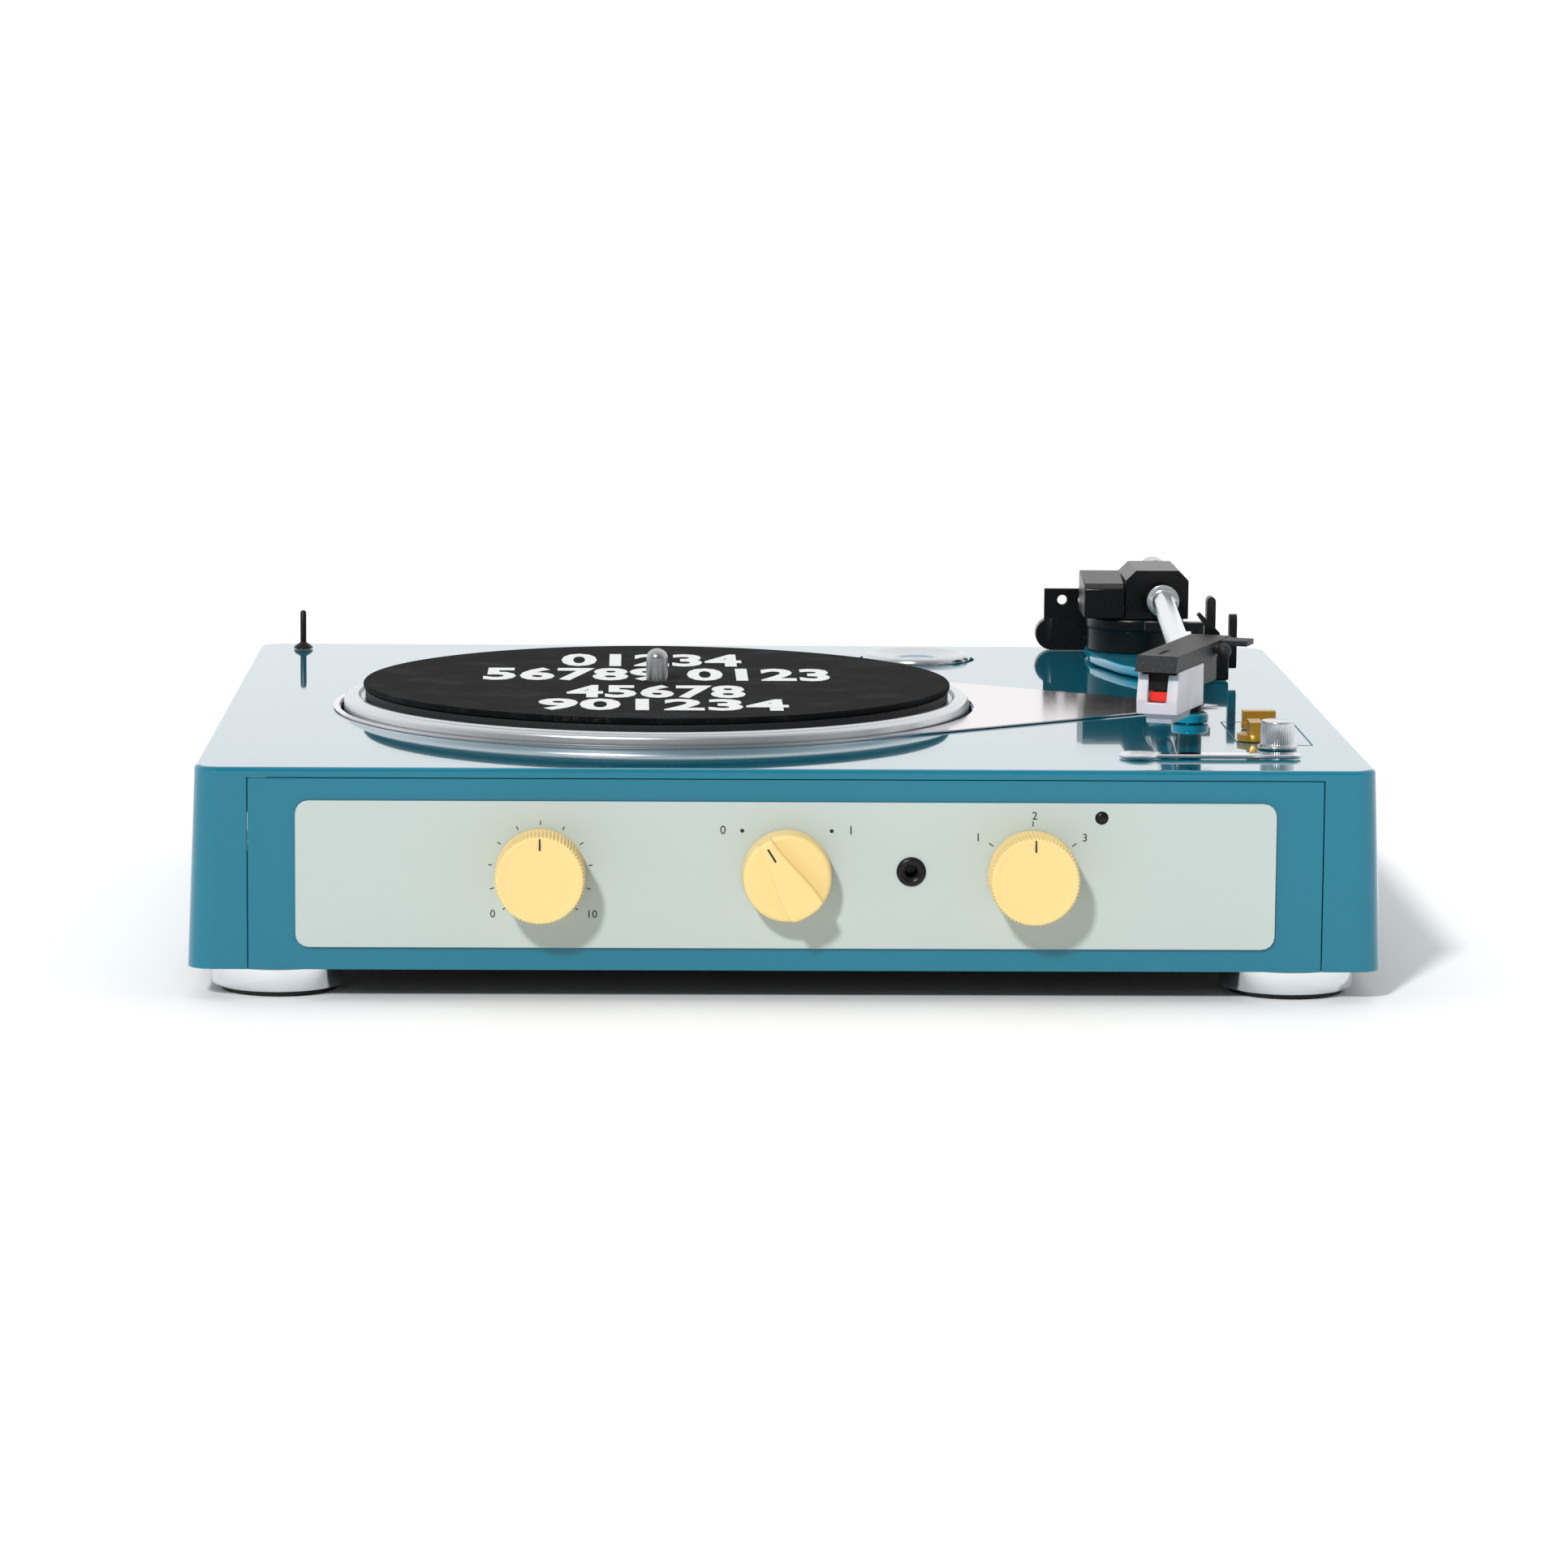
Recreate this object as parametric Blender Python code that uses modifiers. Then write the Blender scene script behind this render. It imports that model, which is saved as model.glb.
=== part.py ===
"""Table-top record player: glossy moulded cabinet, belt-driven platter, tonearm with stylus guard,
and three front controls. Frame: +Z up, front towards -Y, the table at Z = 0, metres.
"""

import math

import bmesh
import bpy
from mathutils import Matrix, Vector

GAP = 0.0003  # clearance left between two pieces that seat on each other

# Cabinet
BODY_W = 0.3614
BODY_D = 0.3220
BODY_TOP = 0.0720
BODY_BOTTOM = 0.0098
DRAFT = 0.0024  # each side leans out this much towards the bottom
CORNER_R = 0.0080
TOP_EDGE_R = 0.0012
WALL = 0.0030
PANEL_W = 0.3280
PANEL_T = 0.0040
PLATE_W = 0.2990
PLATE_H = 0.0451
PLATE_Z = 0.03945
PLATE_T = 0.0009
PLATE_R = 0.0040
BASE_T = 0.0025
FOOT_R = 0.02075
FOOT_H = 0.0077
FOOT_X = 0.156
FOOT_Y = 0.136
PAD_R = 0.0180
PAD_H = 0.0030
FOOT_LIFT = 0.0018  # the foot's rim stands this far off the table

# Turntable
PLATTER_AT = (-0.0391, -0.0104)
PLATTER_R = 0.1030
PLATTER_TOP = 0.0765
PLATTER_SKIRT = 0.0142
WELL_GAP = 0.0013
WELL_DEPTH = 0.0180
TRAY_T = 0.0020
DRIVE_R = 0.0600
RUBBER_R = 0.0960
RUBBER_T = 0.0028
MAT_RECESS = 0.0015
SLIPMAT_R = 0.0966
SLIPMAT_T = 0.0019
SPINDLE_R = 0.00355
SPINDLE_TOP = 0.0910
JOURNAL_R = 0.0030
BUSH_R = 0.0070
BUSH_TOP = 0.0600
MOTOR_R = 0.0180
MOTOR_H = 0.0247
MOTOR_REACH = 0.0860
MOTOR_ANGLE = math.radians(125)
PULLEY_R = 0.0050
PULLEY_H = 0.0075
BELT_T = 0.0008
BELT_H = 0.0050
TEARDROP_TIP = (0.1462, -0.0080)
TEARDROP_T = 0.0004
TEARDROP_RIM = 0.0022
ADAPTER_AT = (0.0532, 0.1214)
ADAPTER_R = 0.0190
ADAPTER_H = 0.0060
ADAPTER_DEEP = 0.0040

# Tonearm
PLINTH_T = 0.0035
ARM_BASE_AT = (0.1305, 0.1220)
ARM_BASE_R = 0.0173
ARM_BASE_H = 0.0121
PIVOT = (0.1395, 0.1230, 0.0953)
PIVOT_PIN_R = 0.0020
SWIVEL_R = 0.0080
SWIVEL_SHAFT_R = 0.0030
SWIVEL_T = 0.0020
TOWER_W = 0.0142
TOWER_LEFT = 0.1112
BLOCK_W = 0.0220
BLOCK_TOP = 0.1055
BLOCK_FRONT = 0.1050
BLOCK_REAR = 0.1390
BLOCK_CHAMFER = 0.0035
TUBE_R = 0.00375
TUBE_REAR = (0.1390, 0.1130, 0.0954)
TUBE_FRONT = (0.1277, -0.0840, 0.0974)
COLLAR_R = 0.00565
COLLAR_L = 0.0060
WEIGHT_R = 0.0052
WEIGHT_L = 0.0140
WEIGHT_Z = 0.1002
HEAD_AT = (0.1388, -0.0600)
HEAD_TURN = math.radians(-21)
HEAD_L = 0.0640
HEAD_W = 0.0132
HEAD_TOP = 0.10215
HEAD_UNDER = 0.0973
CARTRIDGE_W = 0.0108
CARTRIDGE_FLOOR = 0.0909
STYLUS_TIP = 0.0818
GUARD_W = 0.0132
GUARD_WALL = 0.0009
GUARD_BACK = -0.0320
GUARD_FRONT = -0.0622
GUARD_FLOOR = 0.0837
GUARD_SKID = 0.0806
REST_AT = (0.1338, -0.0473)
REST_POST_R = 0.00385
REST_TOP = 0.0929
PRONG_T = 0.0029
PRONG_X = 0.13985
PRONG_TOP = 0.1132
CUE_AT = (0.1475, 0.0670)
CUE_POST_R = 0.0025
CUE_TOP = 0.0918
CUE_BAR_T = 0.0030
CUE_LEVER_T = 0.0027
CUE_LEVER_TOP = 0.0947

# Deck controls and front controls
LEVER_DISC_T = 0.0020
SPEED_AT = (0.1500, -0.0915)
AUTOSTOP_AT = (0.1544, -0.0630)
PITCH_AT = (0.1551, -0.1100)
PITCH_R = 0.0053
PITCH_TOP = 0.0810
KNOB_R = 0.01375
KNOB_L = 0.0148
KNOB_Z = 0.0400
KNOB_PITCH = 0.0750
SHAFT_R = 0.0030
SWITCH_W = 0.0170
SWITCH_D = 0.0105
JACK_AT = (0.0380, 0.0408)
JACK_R = 0.0045
LED_AT = (0.0960, 0.0575)
LED_R = 0.00175
SOCKET_AT = (-0.1200, 0.0400)
SOCKET_PITCH = 0.0140
SOCKET_R = 0.0042
SOCKET_OUT = 0.0050
SPEAKER_AT = (0.1150, -0.0950)
SPEAKER_R = 0.0300

# Places that follow from the sizes above
FRONT = -BODY_D / 2
REAR = BODY_D / 2
PANEL_BACK = FRONT + PANEL_T
PLATE_FACE = FRONT - GAP - PLATE_T
KNOB_FACE = PLATE_FACE - GAP - KNOB_L
WELL_R = PLATTER_R + WELL_GAP
FLOOR_TOP = BODY_TOP - WELL_DEPTH
FLOOR_UNDER = FLOOR_TOP - TRAY_T
DISC_TOP = PLATTER_TOP - MAT_RECESS
RUBBER_TOP = DISC_TOP + GAP + RUBBER_T
SLIPMAT_TOP = RUBBER_TOP + GAP + SLIPMAT_T
MOTOR_AT = (
    PLATTER_AT[0] + MOTOR_REACH * math.cos(MOTOR_ANGLE),
    PLATTER_AT[1] + MOTOR_REACH * math.sin(MOTOR_ANGLE),
)
PLINTH_TOP = BODY_TOP + GAP + PLINTH_T
ARM_BASE_TOP = PLINTH_TOP + GAP + ARM_BASE_H
SWIVEL_TOP = ARM_BASE_TOP + GAP + SWIVEL_T
BLOCK_LEFT = TOWER_LEFT + TOWER_W + GAP
FRONT_REACH = -KNOB_FACE
REAR_REACH = REAR + SOCKET_OUT
SHIFT_Y = (FRONT_REACH - REAR_REACH) / 2  # puts the middle of the whole depth over the origin


# ---------------------------------------------------------------- helpers
def clear_scene():
    for obj in list(bpy.data.objects):
        bpy.data.objects.remove(obj, do_unlink=True)


def collection(name):
    made = bpy.data.collections.new(name)
    bpy.context.scene.collection.children.link(made)
    return made


def linear(channel):
    return channel / 12.92 if channel <= 0.04045 else ((channel + 0.055) / 1.055) ** 2.4


def material(name, colour, roughness, metallic=0.0):
    made = bpy.data.materials.new(name)
    made.use_nodes = True
    shader = made.node_tree.nodes["Principled BSDF"]
    rgb = [linear(int(colour[i : i + 2], 16) / 255) for i in (0, 2, 4)]
    shader.inputs["Base Color"].default_value = (*rgb, 1.0)
    shader.inputs["Roughness"].default_value = roughness
    shader.inputs["Metallic"].default_value = metallic
    return made


def place(name, mesh, look, at=(0, 0, 0), turn=(0, 0, 0), parent=None):
    """A node of the record player, in the player's own frame or in its parent's."""
    obj = bpy.data.objects.new(name, mesh)
    PARTS.objects.link(obj)
    obj.parent = parent or ROOT
    obj.location = at
    obj.rotation_euler = turn
    mesh.materials.append(look)
    return obj


def helper(mesh, at=(0, 0, 0), turn=(0, 0, 0), parent=None):
    """A hidden solid that a Boolean subtracts or adds."""
    obj = bpy.data.objects.new("tool", mesh)
    TOOLS.objects.link(obj)
    obj.parent = parent or ROOT
    obj.location = at
    obj.rotation_euler = turn
    obj.hide_render = True
    obj.display_type = "WIRE"
    return obj


def boolean(obj, other, operation):
    modifier = obj.modifiers.new(operation.title(), "BOOLEAN")
    modifier.operation = operation
    modifier.solver = "EXACT"
    modifier.object = other


def cut(obj, *others):
    for other in others:
        boolean(obj, other, "DIFFERENCE")


def join(obj, *others):
    for other in others:
        boolean(obj, other, "UNION")


def bevel(obj, width, segments=2):
    modifier = obj.modifiers.new("Bevel", "BEVEL")
    modifier.width = width
    modifier.segments = segments
    modifier.limit_method = "ANGLE"


def from_bmesh(bm, name="mesh"):
    mesh = bpy.data.meshes.new(name)
    bm.to_mesh(mesh)
    bm.free()
    return mesh


def box(x, y, z):
    """A block between two values on each axis."""
    bm = bmesh.new()
    bmesh.ops.create_cube(bm, size=1.0)
    size = Vector((x[1] - x[0], y[1] - y[0], z[1] - z[0]))
    middle = Vector((x[0] + x[1], y[0] + y[1], z[0] + z[1])) / 2
    bmesh.ops.scale(bm, vec=size, verts=bm.verts)
    bmesh.ops.translate(bm, vec=middle, verts=bm.verts)
    return from_bmesh(bm)


def rod(radius, start, end, sides=20):
    """A round bar from one point to another."""
    run = Vector(end) - Vector(start)
    bm = bmesh.new()
    bmesh.ops.create_cone(
        bm, cap_ends=True, segments=sides, radius1=radius, radius2=radius, depth=run.length
    )
    turn = run.to_track_quat("Z", "Y").to_matrix().to_4x4()
    middle = Matrix.Translation((Vector(start) + Vector(end)) / 2)
    bmesh.ops.transform(bm, matrix=middle @ turn, verts=bm.verts)
    return from_bmesh(bm)


def profile(points, closed=False):
    """A half section (radius, height), running down on its outer side."""
    mesh = bpy.data.meshes.new("profile")
    count = len(points)
    edges = [(i, i + 1) for i in range(count - 1)]
    if closed:
        edges.append((count - 1, 0))
    mesh.from_pydata([(r, 0, z) for r, z in points], edges, [])
    return mesh


def spin(obj, steps):
    modifier = obj.modifiers.new("Screw", "SCREW")
    modifier.steps = steps
    modifier.render_steps = steps
    modifier.use_merge_vertices = True
    modifier.merge_threshold = 1e-5
    return obj


def turned(name, points, look, at=(0, 0, 0), turn=(0, 0, 0), steps=32, closed=False, parent=None):
    obj = place(name, profile(points, closed), look, at, turn, parent)
    return spin(obj, steps)


def turned_tool(points, at=(0, 0, 0), turn=(0, 0, 0), steps=32):
    return spin(helper(profile(points), at, turn), steps)


def outline(loops, thickness):
    """A flat plate of the given outline loops, its underside at height 0."""
    curve = bpy.data.curves.new("outline", "CURVE")
    curve.dimensions = "2D"
    curve.fill_mode = "BOTH"
    curve.extrude = thickness / 2
    for points in loops:
        spline = curve.splines.new("POLY")
        spline.points.add(len(points) - 1)
        spline.use_cyclic_u = True
        for point, (x, y) in zip(spline.points, points):
            point.co = (x, y, 0, 1)
    holder = bpy.data.objects.new("outline", curve)
    bpy.context.scene.collection.objects.link(holder)
    graph = bpy.context.evaluated_depsgraph_get()
    mesh = bpy.data.meshes.new_from_object(holder.evaluated_get(graph))
    bpy.data.objects.remove(holder, do_unlink=True)
    bm = bmesh.new()
    bm.from_mesh(mesh)
    bmesh.ops.remove_doubles(bm, verts=bm.verts, dist=1e-6)
    bmesh.ops.translate(bm, vec=(0, 0, thickness / 2), verts=bm.verts)
    bmesh.ops.recalc_face_normals(bm, faces=bm.faces)
    return from_bmesh(bm)


def across_x(points, x):
    """A side outline (y, z) carried across from x[0] to x[1]."""
    mesh = outline([points], x[1] - x[0])
    mesh.transform(Matrix(((0, 0, 1, x[0]), (1, 0, 0, 0), (0, 1, 0, 0), (0, 0, 0, 1))))
    return mesh


def arc(centre, radius, start, end, steps):
    return [
        (
            centre[0] + radius * math.cos(start + (end - start) * i / steps),
            centre[1] + radius * math.sin(start + (end - start) * i / steps),
        )
        for i in range(steps + 1)
    ]


def rounded_rect(width, height, radius, steps=4):
    points = []
    for k, (sx, sy) in enumerate(((1, 1), (-1, 1), (-1, -1), (1, -1))):
        centre = (sx * (width / 2 - radius), sy * (height / 2 - radius))
        points += arc(centre, radius, k * math.pi / 2, (k + 1) * math.pi / 2, steps)
    return points


def wrapped(centre, radius, far, far_radius, steps, far_steps):
    """The loop of a taut band round two discs."""
    dx, dy = far[0] - centre[0], far[1] - centre[1]
    heading = math.atan2(dy, dx)
    lean = math.acos((radius - far_radius) / math.hypot(dx, dy))
    big = arc(centre, radius, heading + lean, heading + 2 * math.pi - lean, steps)
    return big + arc(far, far_radius, heading - lean, heading + lean, far_steps)


# ---------------------------------------------------------------- cabinet
def wall_hole(x, z, radius):
    """A round hole through the front panel and its plate."""
    return helper(rod(radius, (x, PLATE_FACE - 0.002, z), (x, PANEL_BACK + 0.002, z), 16))


def cabinet_block(inset, top, bottom):
    """The cabinet's outline, set in from its faces, with its sides leaning out towards the bottom."""
    slope = DRAFT / (BODY_TOP - BODY_BOTTOM)
    bm = bmesh.new()
    bmesh.ops.create_cube(bm, size=1.0)
    size = (BODY_W - 2 * inset, BODY_D - 2 * inset, top - bottom)
    bmesh.ops.scale(bm, vec=size, verts=bm.verts)
    bmesh.ops.translate(bm, vec=(0, 0, (top + bottom) / 2), verts=bm.verts)
    for vert in bm.verts:
        vert.co.x += math.copysign(slope * (BODY_TOP - vert.co.z), vert.co.x)
    upright = [e for e in bm.edges if abs(e.verts[0].co.z - e.verts[1].co.z) > 0.01]
    bmesh.ops.bevel(
        bm, geom=upright, offset=CORNER_R - inset, segments=4, affect="EDGES", profile=0.5
    )
    return bm


def cabinet():
    bm = cabinet_block(0, BODY_TOP, BODY_BOTTOM)
    rim = [e for e in bm.edges if min(v.co.z for v in e.verts) > BODY_TOP - 0.001]
    bmesh.ops.bevel(bm, geom=rim, offset=TOP_EDGE_R, segments=2, affect="EDGES", profile=0.5)
    shell = place("cabinet_shell", from_bmesh(bm), TEAL)
    inside_room = from_bmesh(cabinet_block(WALL, BODY_TOP - WALL, BODY_BOTTOM - 0.001))
    half = PANEL_W / 2 + GAP
    top = BODY_TOP - WALL
    sockets = [
        rod(SOCKET_R + GAP, (x, REAR - WALL - 0.002, SOCKET_AT[1]), (x, REAR + 0.002, SOCKET_AT[1]))
        for x in socket_places()
    ]
    cut(
        shell,
        helper(inside_room),
        helper(box((-half, half), (FRONT - 0.004, FRONT + WALL + 0.001), (0, top))),
        helper(rod(WELL_R, (*PLATTER_AT, top - 0.002), (*PLATTER_AT, BODY_TOP + 0.002), 56)),
        helper(rod(ADAPTER_R + 0.0015, (*ADAPTER_AT, top - 0.002), (*ADAPTER_AT, BODY_TOP + 0.002), 28)),
        *[helper(mesh) for mesh in sockets],
    )


def socket_places():
    x = SOCKET_AT[0]
    return (x - SOCKET_PITCH / 2, x + SOCKET_PITCH / 2, x + 2.5 * SOCKET_PITCH)


def front():
    half = PANEL_W / 2
    panel = place(
        "front_panel",
        box((-half, half), (FRONT, PANEL_BACK), (BODY_BOTTOM, BODY_TOP - WALL - GAP)),
        TEAL,
    )
    mesh = outline([rounded_rect(PLATE_W, PLATE_H, PLATE_R)], PLATE_T)
    plate = place(
        "face_plate", mesh, PALE, (0, FRONT - GAP, PLATE_Z), (math.radians(90), 0, 0)
    )
    holes = [wall_hole(x, KNOB_Z, SHAFT_R + GAP) for x in (-KNOB_PITCH, 0, KNOB_PITCH)]
    holes.append(wall_hole(*JACK_AT, JACK_R - 0.0006 + GAP))
    holes.append(wall_hole(*LED_AT, LED_R + GAP))
    cut(panel, *holes)
    cut(plate, *holes)


def base():
    """The closing board, with slots under each loudspeaker, and the four feet."""
    half = BODY_W / 2 + DRAFT * 0.95 - WALL - GAP * 3
    front_edge = PANEL_BACK + GAP
    rear_edge = REAR - WALL - GAP
    mesh = outline([rounded_rect(2 * half, rear_edge - front_edge, CORNER_R)], BASE_T)
    board = place("base_cover", mesh, BLACK, (0, (front_edge + rear_edge) / 2, BODY_BOTTOM))
    for side in (-1, 1):
        for row in range(5):
            y = SPEAKER_AT[1] + (row - 2) * 0.0095
            x = side * SPEAKER_AT[0]
            slot = box((x - 0.020, x + 0.020), (y - 0.0016, y + 0.0016), (0, 0.02))
            cut(board, helper(slot))
    for name, x, y in (
        ("front_left", -FOOT_X, -FOOT_Y),
        ("front_right", FOOT_X, -FOOT_Y),
        ("rear_left", -FOOT_X, FOOT_Y),
        ("rear_right", FOOT_X, FOOT_Y),
    ):
        top = BODY_BOTTOM - GAP
        seat = PAD_H + GAP
        turned(
            "foot_" + name,
            [
                (0, top),
                (FOOT_R - 0.0015, top),
                (FOOT_R, top - 0.0010),
                (FOOT_R, FOOT_LIFT + 0.0008),
                (FOOT_R - 0.0008, FOOT_LIFT),
                (PAD_R + GAP, FOOT_LIFT),
                (PAD_R + GAP, seat),
                (0, seat),
            ],
            CHROME,
            (x, y, 0),
            steps=20,
        )
        turned(
            "foot_pad_" + name,
            [(0, PAD_H), (PAD_R, PAD_H), (PAD_R, 0.0007), (PAD_R - 0.0007, 0), (0, 0)],
            RUBBER,
            (x, y, 0),
            steps=20,
        )


# ---------------------------------------------------------------- turntable
def turntable():
    top = BODY_TOP - WALL - GAP
    tray = turned(
        "sub_deck",
        [
            (WELL_R + 0.0060, top),
            (WELL_R + 0.0060, top - TRAY_T),
            (WELL_R + TRAY_T, top - TRAY_T),
            (WELL_R + TRAY_T, FLOOR_UNDER),
            (BUSH_R + GAP, FLOOR_UNDER),
            (BUSH_R + GAP, FLOOR_TOP),
            (WELL_R, FLOOR_TOP),
            (WELL_R, top),
        ],
        TEAL_IN,
        (*PLATTER_AT, 0),
        steps=40,
        closed=True,
    )
    cut(tray, helper(rod(0.004, (*MOTOR_AT, 0.045), (*MOTOR_AT, 0.060))))
    turned(
        "bearing_bush",
        [
            (BUSH_R, BUSH_TOP),
            (BUSH_R, FLOOR_TOP + 0.0020),
            (0.0120, FLOOR_TOP + 0.0020),
            (0.0120, FLOOR_TOP + GAP),
            (BUSH_R, FLOOR_TOP + GAP),
            (BUSH_R, 0.0400),
            (JOURNAL_R + GAP, 0.0400),
            (JOURNAL_R + GAP, BUSH_TOP),
        ],
        BRASS,
        (*PLATTER_AT, 0),
        steps=16,
        closed=True,
    )
    shoulder = BUSH_TOP + GAP
    turned(
        "spindle",
        [
            (0, SPINDLE_TOP),
            (SPINDLE_R * 0.45, SPINDLE_TOP - 0.0003),
            (SPINDLE_R * 0.82, SPINDLE_TOP - 0.0013),
            (SPINDLE_R, SPINDLE_TOP - 0.0032),
            (SPINDLE_R, shoulder),
            (JOURNAL_R, shoulder),
            (JOURNAL_R, 0.0410),
            (0, 0.0410),
        ],
        STEEL,
        (*PLATTER_AT, 0),
        steps=24,
    )
    bore = SPINDLE_R + GAP
    skirt = PLATTER_TOP - PLATTER_SKIRT
    under = DISC_TOP - 0.0030
    turned(
        "platter",
        [
            (bore, DISC_TOP),
            (RUBBER_R + 0.0014, DISC_TOP),
            (RUBBER_R + 0.0024, PLATTER_TOP),
            (PLATTER_R - 0.0008, PLATTER_TOP),
            (PLATTER_R, PLATTER_TOP - 0.0008),
            (PLATTER_R, skirt),
            (PLATTER_R - 0.0030, skirt),
            (PLATTER_R - 0.0030, under),
            (DRIVE_R, under),
            (DRIVE_R, skirt),
            (DRIVE_R - 0.0030, skirt),
            (DRIVE_R - 0.0030, under),
            (0.0120, under),
            (0.0090, under - 0.0030),
            (0.0090, shoulder),
            (bore, shoulder),
        ],
        ALUMINIUM,
        (*PLATTER_AT, 0),
        steps=40,
        closed=True,
    )
    for name, radius, low, high, look in (
        ("rubber_mat", RUBBER_R, DISC_TOP + GAP, RUBBER_TOP, RUBBER),
        ("slipmat", SLIPMAT_R, RUBBER_TOP + GAP, SLIPMAT_TOP, FELT),
    ):
        turned(
            name,
            [(radius, high), (radius, low), (bore, low), (bore, high)],
            look,
            (*PLATTER_AT, 0),
            steps=40,
            closed=True,
        )


def drive():
    head = FLOOR_UNDER - GAP
    pulley_low = 0.0625
    turned(
        "motor",
        [
            (0, pulley_low + PULLEY_H),
            (0.0010, pulley_low + PULLEY_H),
            (0.0010, head),
            (MOTOR_R, head),
            (MOTOR_R, head - MOTOR_H),
            (0, head - MOTOR_H),
        ],
        STEEL,
        (*MOTOR_AT, 0),
        steps=28,
    )
    turned(
        "motor_pulley",
        [
            (PULLEY_R, pulley_low + PULLEY_H - 0.0003),
            (PULLEY_R, pulley_low),
            (0.0010 + GAP, pulley_low),
            (0.0010 + GAP, pulley_low + PULLEY_H - 0.0003),
        ],
        BRASS,
        (*MOTOR_AT, 0),
        steps=20,
        closed=True,
    )
    loops = [
        wrapped(PLATTER_AT, DRIVE_R + grow, MOTOR_AT, PULLEY_R + grow, 40, 8)
        for grow in (GAP + BELT_T, GAP * 1.5)
    ]
    place("drive_belt", outline(loops, BELT_H), RUBBER, (0, 0, pulley_low + 0.0012))


def deck_plates():
    rim = wrapped(PLATTER_AT, WELL_R + TEARDROP_RIM, TEARDROP_TIP, 0.0008, 56, 3)
    hole = arc(PLATTER_AT, WELL_R + GAP, 0, 2 * math.pi * 63 / 64, 63)
    place("teardrop_plate", outline([rim, hole], TEARDROP_T), SILVER, (0, 0, BODY_TOP + GAP))
    under = BODY_TOP - WALL - GAP
    floor = BODY_TOP - ADAPTER_DEEP
    rim_r = ADAPTER_R + 0.0015
    turned(
        "adapter_tray",
        [
            (0, floor),
            (ADAPTER_R + 0.0008, floor),
            (ADAPTER_R + 0.0008, under),
            (rim_r + 0.0030, under),
            (rim_r + 0.0030, floor - 0.0015),
            (0, floor - 0.0015),
        ],
        TEAL_IN,
        (*ADAPTER_AT, 0),
        steps=28,
    )
    low = floor + GAP
    turned(
        "adapter_45",
        [
            (ADAPTER_R - 0.0060, low + ADAPTER_H - 0.0008),
            (ADAPTER_R - 0.0030, low + ADAPTER_H),
            (ADAPTER_R - 0.0008, low + ADAPTER_H - 0.0004),
            (ADAPTER_R, low + ADAPTER_H - 0.0016),
            (ADAPTER_R, low),
            (SPINDLE_R + 0.0002, low),
            (SPINDLE_R + 0.0002, low + ADAPTER_H - 0.0022),
        ],
        ALUMINIUM,
        (*ADAPTER_AT, 0),
        steps=28,
        closed=True,
    )


def trim():
    """The plain chrome bar, the cover's peg and its hinge bracket."""
    bar = 0.0032
    disc = 0.0062
    lean = math.asin(bar / disc)
    points = arc((0.0062, 0), disc, lean, 2 * math.pi - lean, 18)
    points += arc((0.0534, 0), bar, -math.pi / 2, math.pi / 2, 8)
    place("trim_bar", outline([points], 0.0012), CHROME, (0.1035, -0.1325, BODY_TOP + GAP))
    foot = BODY_TOP + GAP
    turned(
        "cover_pin",
        [
            (0, 0.0860),
            (0.0007, 0.0858),
            (0.0011, 0.0852),
            (0.0011, foot + 0.0022),
            (0.0030, foot + 0.0010),
            (0.0035, foot),
            (0, foot),
        ],
        BLACK,
        (-0.1645, 0.1430, 0),
        steps=16,
    )
    bracket = place(
        "cover_hinge_bracket",
        box((0.1003, 0.1190), (0.1490, 0.1512), (0.0800, 0.0943)),
        BLACK,
    )
    join(
        bracket,
        helper(box((0.1030, 0.1190), (0.1482, 0.1545), (foot, 0.0837))),
        helper(rod(0.0057, (0.1030, 0.1484, 0.0780), (0.1030, 0.1543, 0.0780), 24)),
    )
    for x in (0.1067, 0.1142):
        cut(bracket, helper(rod(0.00175, (x, 0.145, 0.0903), (x, 0.155, 0.0903), 16)))


# ---------------------------------------------------------------- tonearm
def arm_base():
    """The moulded plinth on the deck and the round foot that the swivel turns in."""
    points = [
        (0.1135, 0.1040),
        (0.1215, 0.0760),
        (0.1275, 0.0640),
        (0.1335, 0.0590),
        (0.1395, 0.0620),
        (0.1410, 0.0770),
        (0.1495, 0.0860),
        (0.1495, 0.1320),
        (0.1420, 0.1402),
        (0.1210, 0.1402),
        (0.1135, 0.1330),
    ]
    plinth = place("arm_plinth", outline([points], PLINTH_T), TEAL, (0, 0, BODY_TOP + GAP))
    bevel(plinth, 0.0008, 1)
    low = PLINTH_TOP + GAP
    foot = turned(
        "tonearm_base",
        [
            (0, ARM_BASE_TOP),
            (ARM_BASE_R - 0.0006, ARM_BASE_TOP),
            (ARM_BASE_R, ARM_BASE_TOP - 0.0006),
            (ARM_BASE_R, ARM_BASE_TOP - 0.0040),
            (ARM_BASE_R - 0.0005, ARM_BASE_TOP - 0.0044),
            (ARM_BASE_R - 0.0005, low),
            (0, low),
        ],
        BLACK,
        (*ARM_BASE_AT, 0),
        steps=28,
    )
    x, y = PIVOT[:2]
    cut(foot, helper(rod(SWIVEL_SHAFT_R + GAP, (x, y, low + 0.0030), (x, y, 0.1), 20)))


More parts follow.
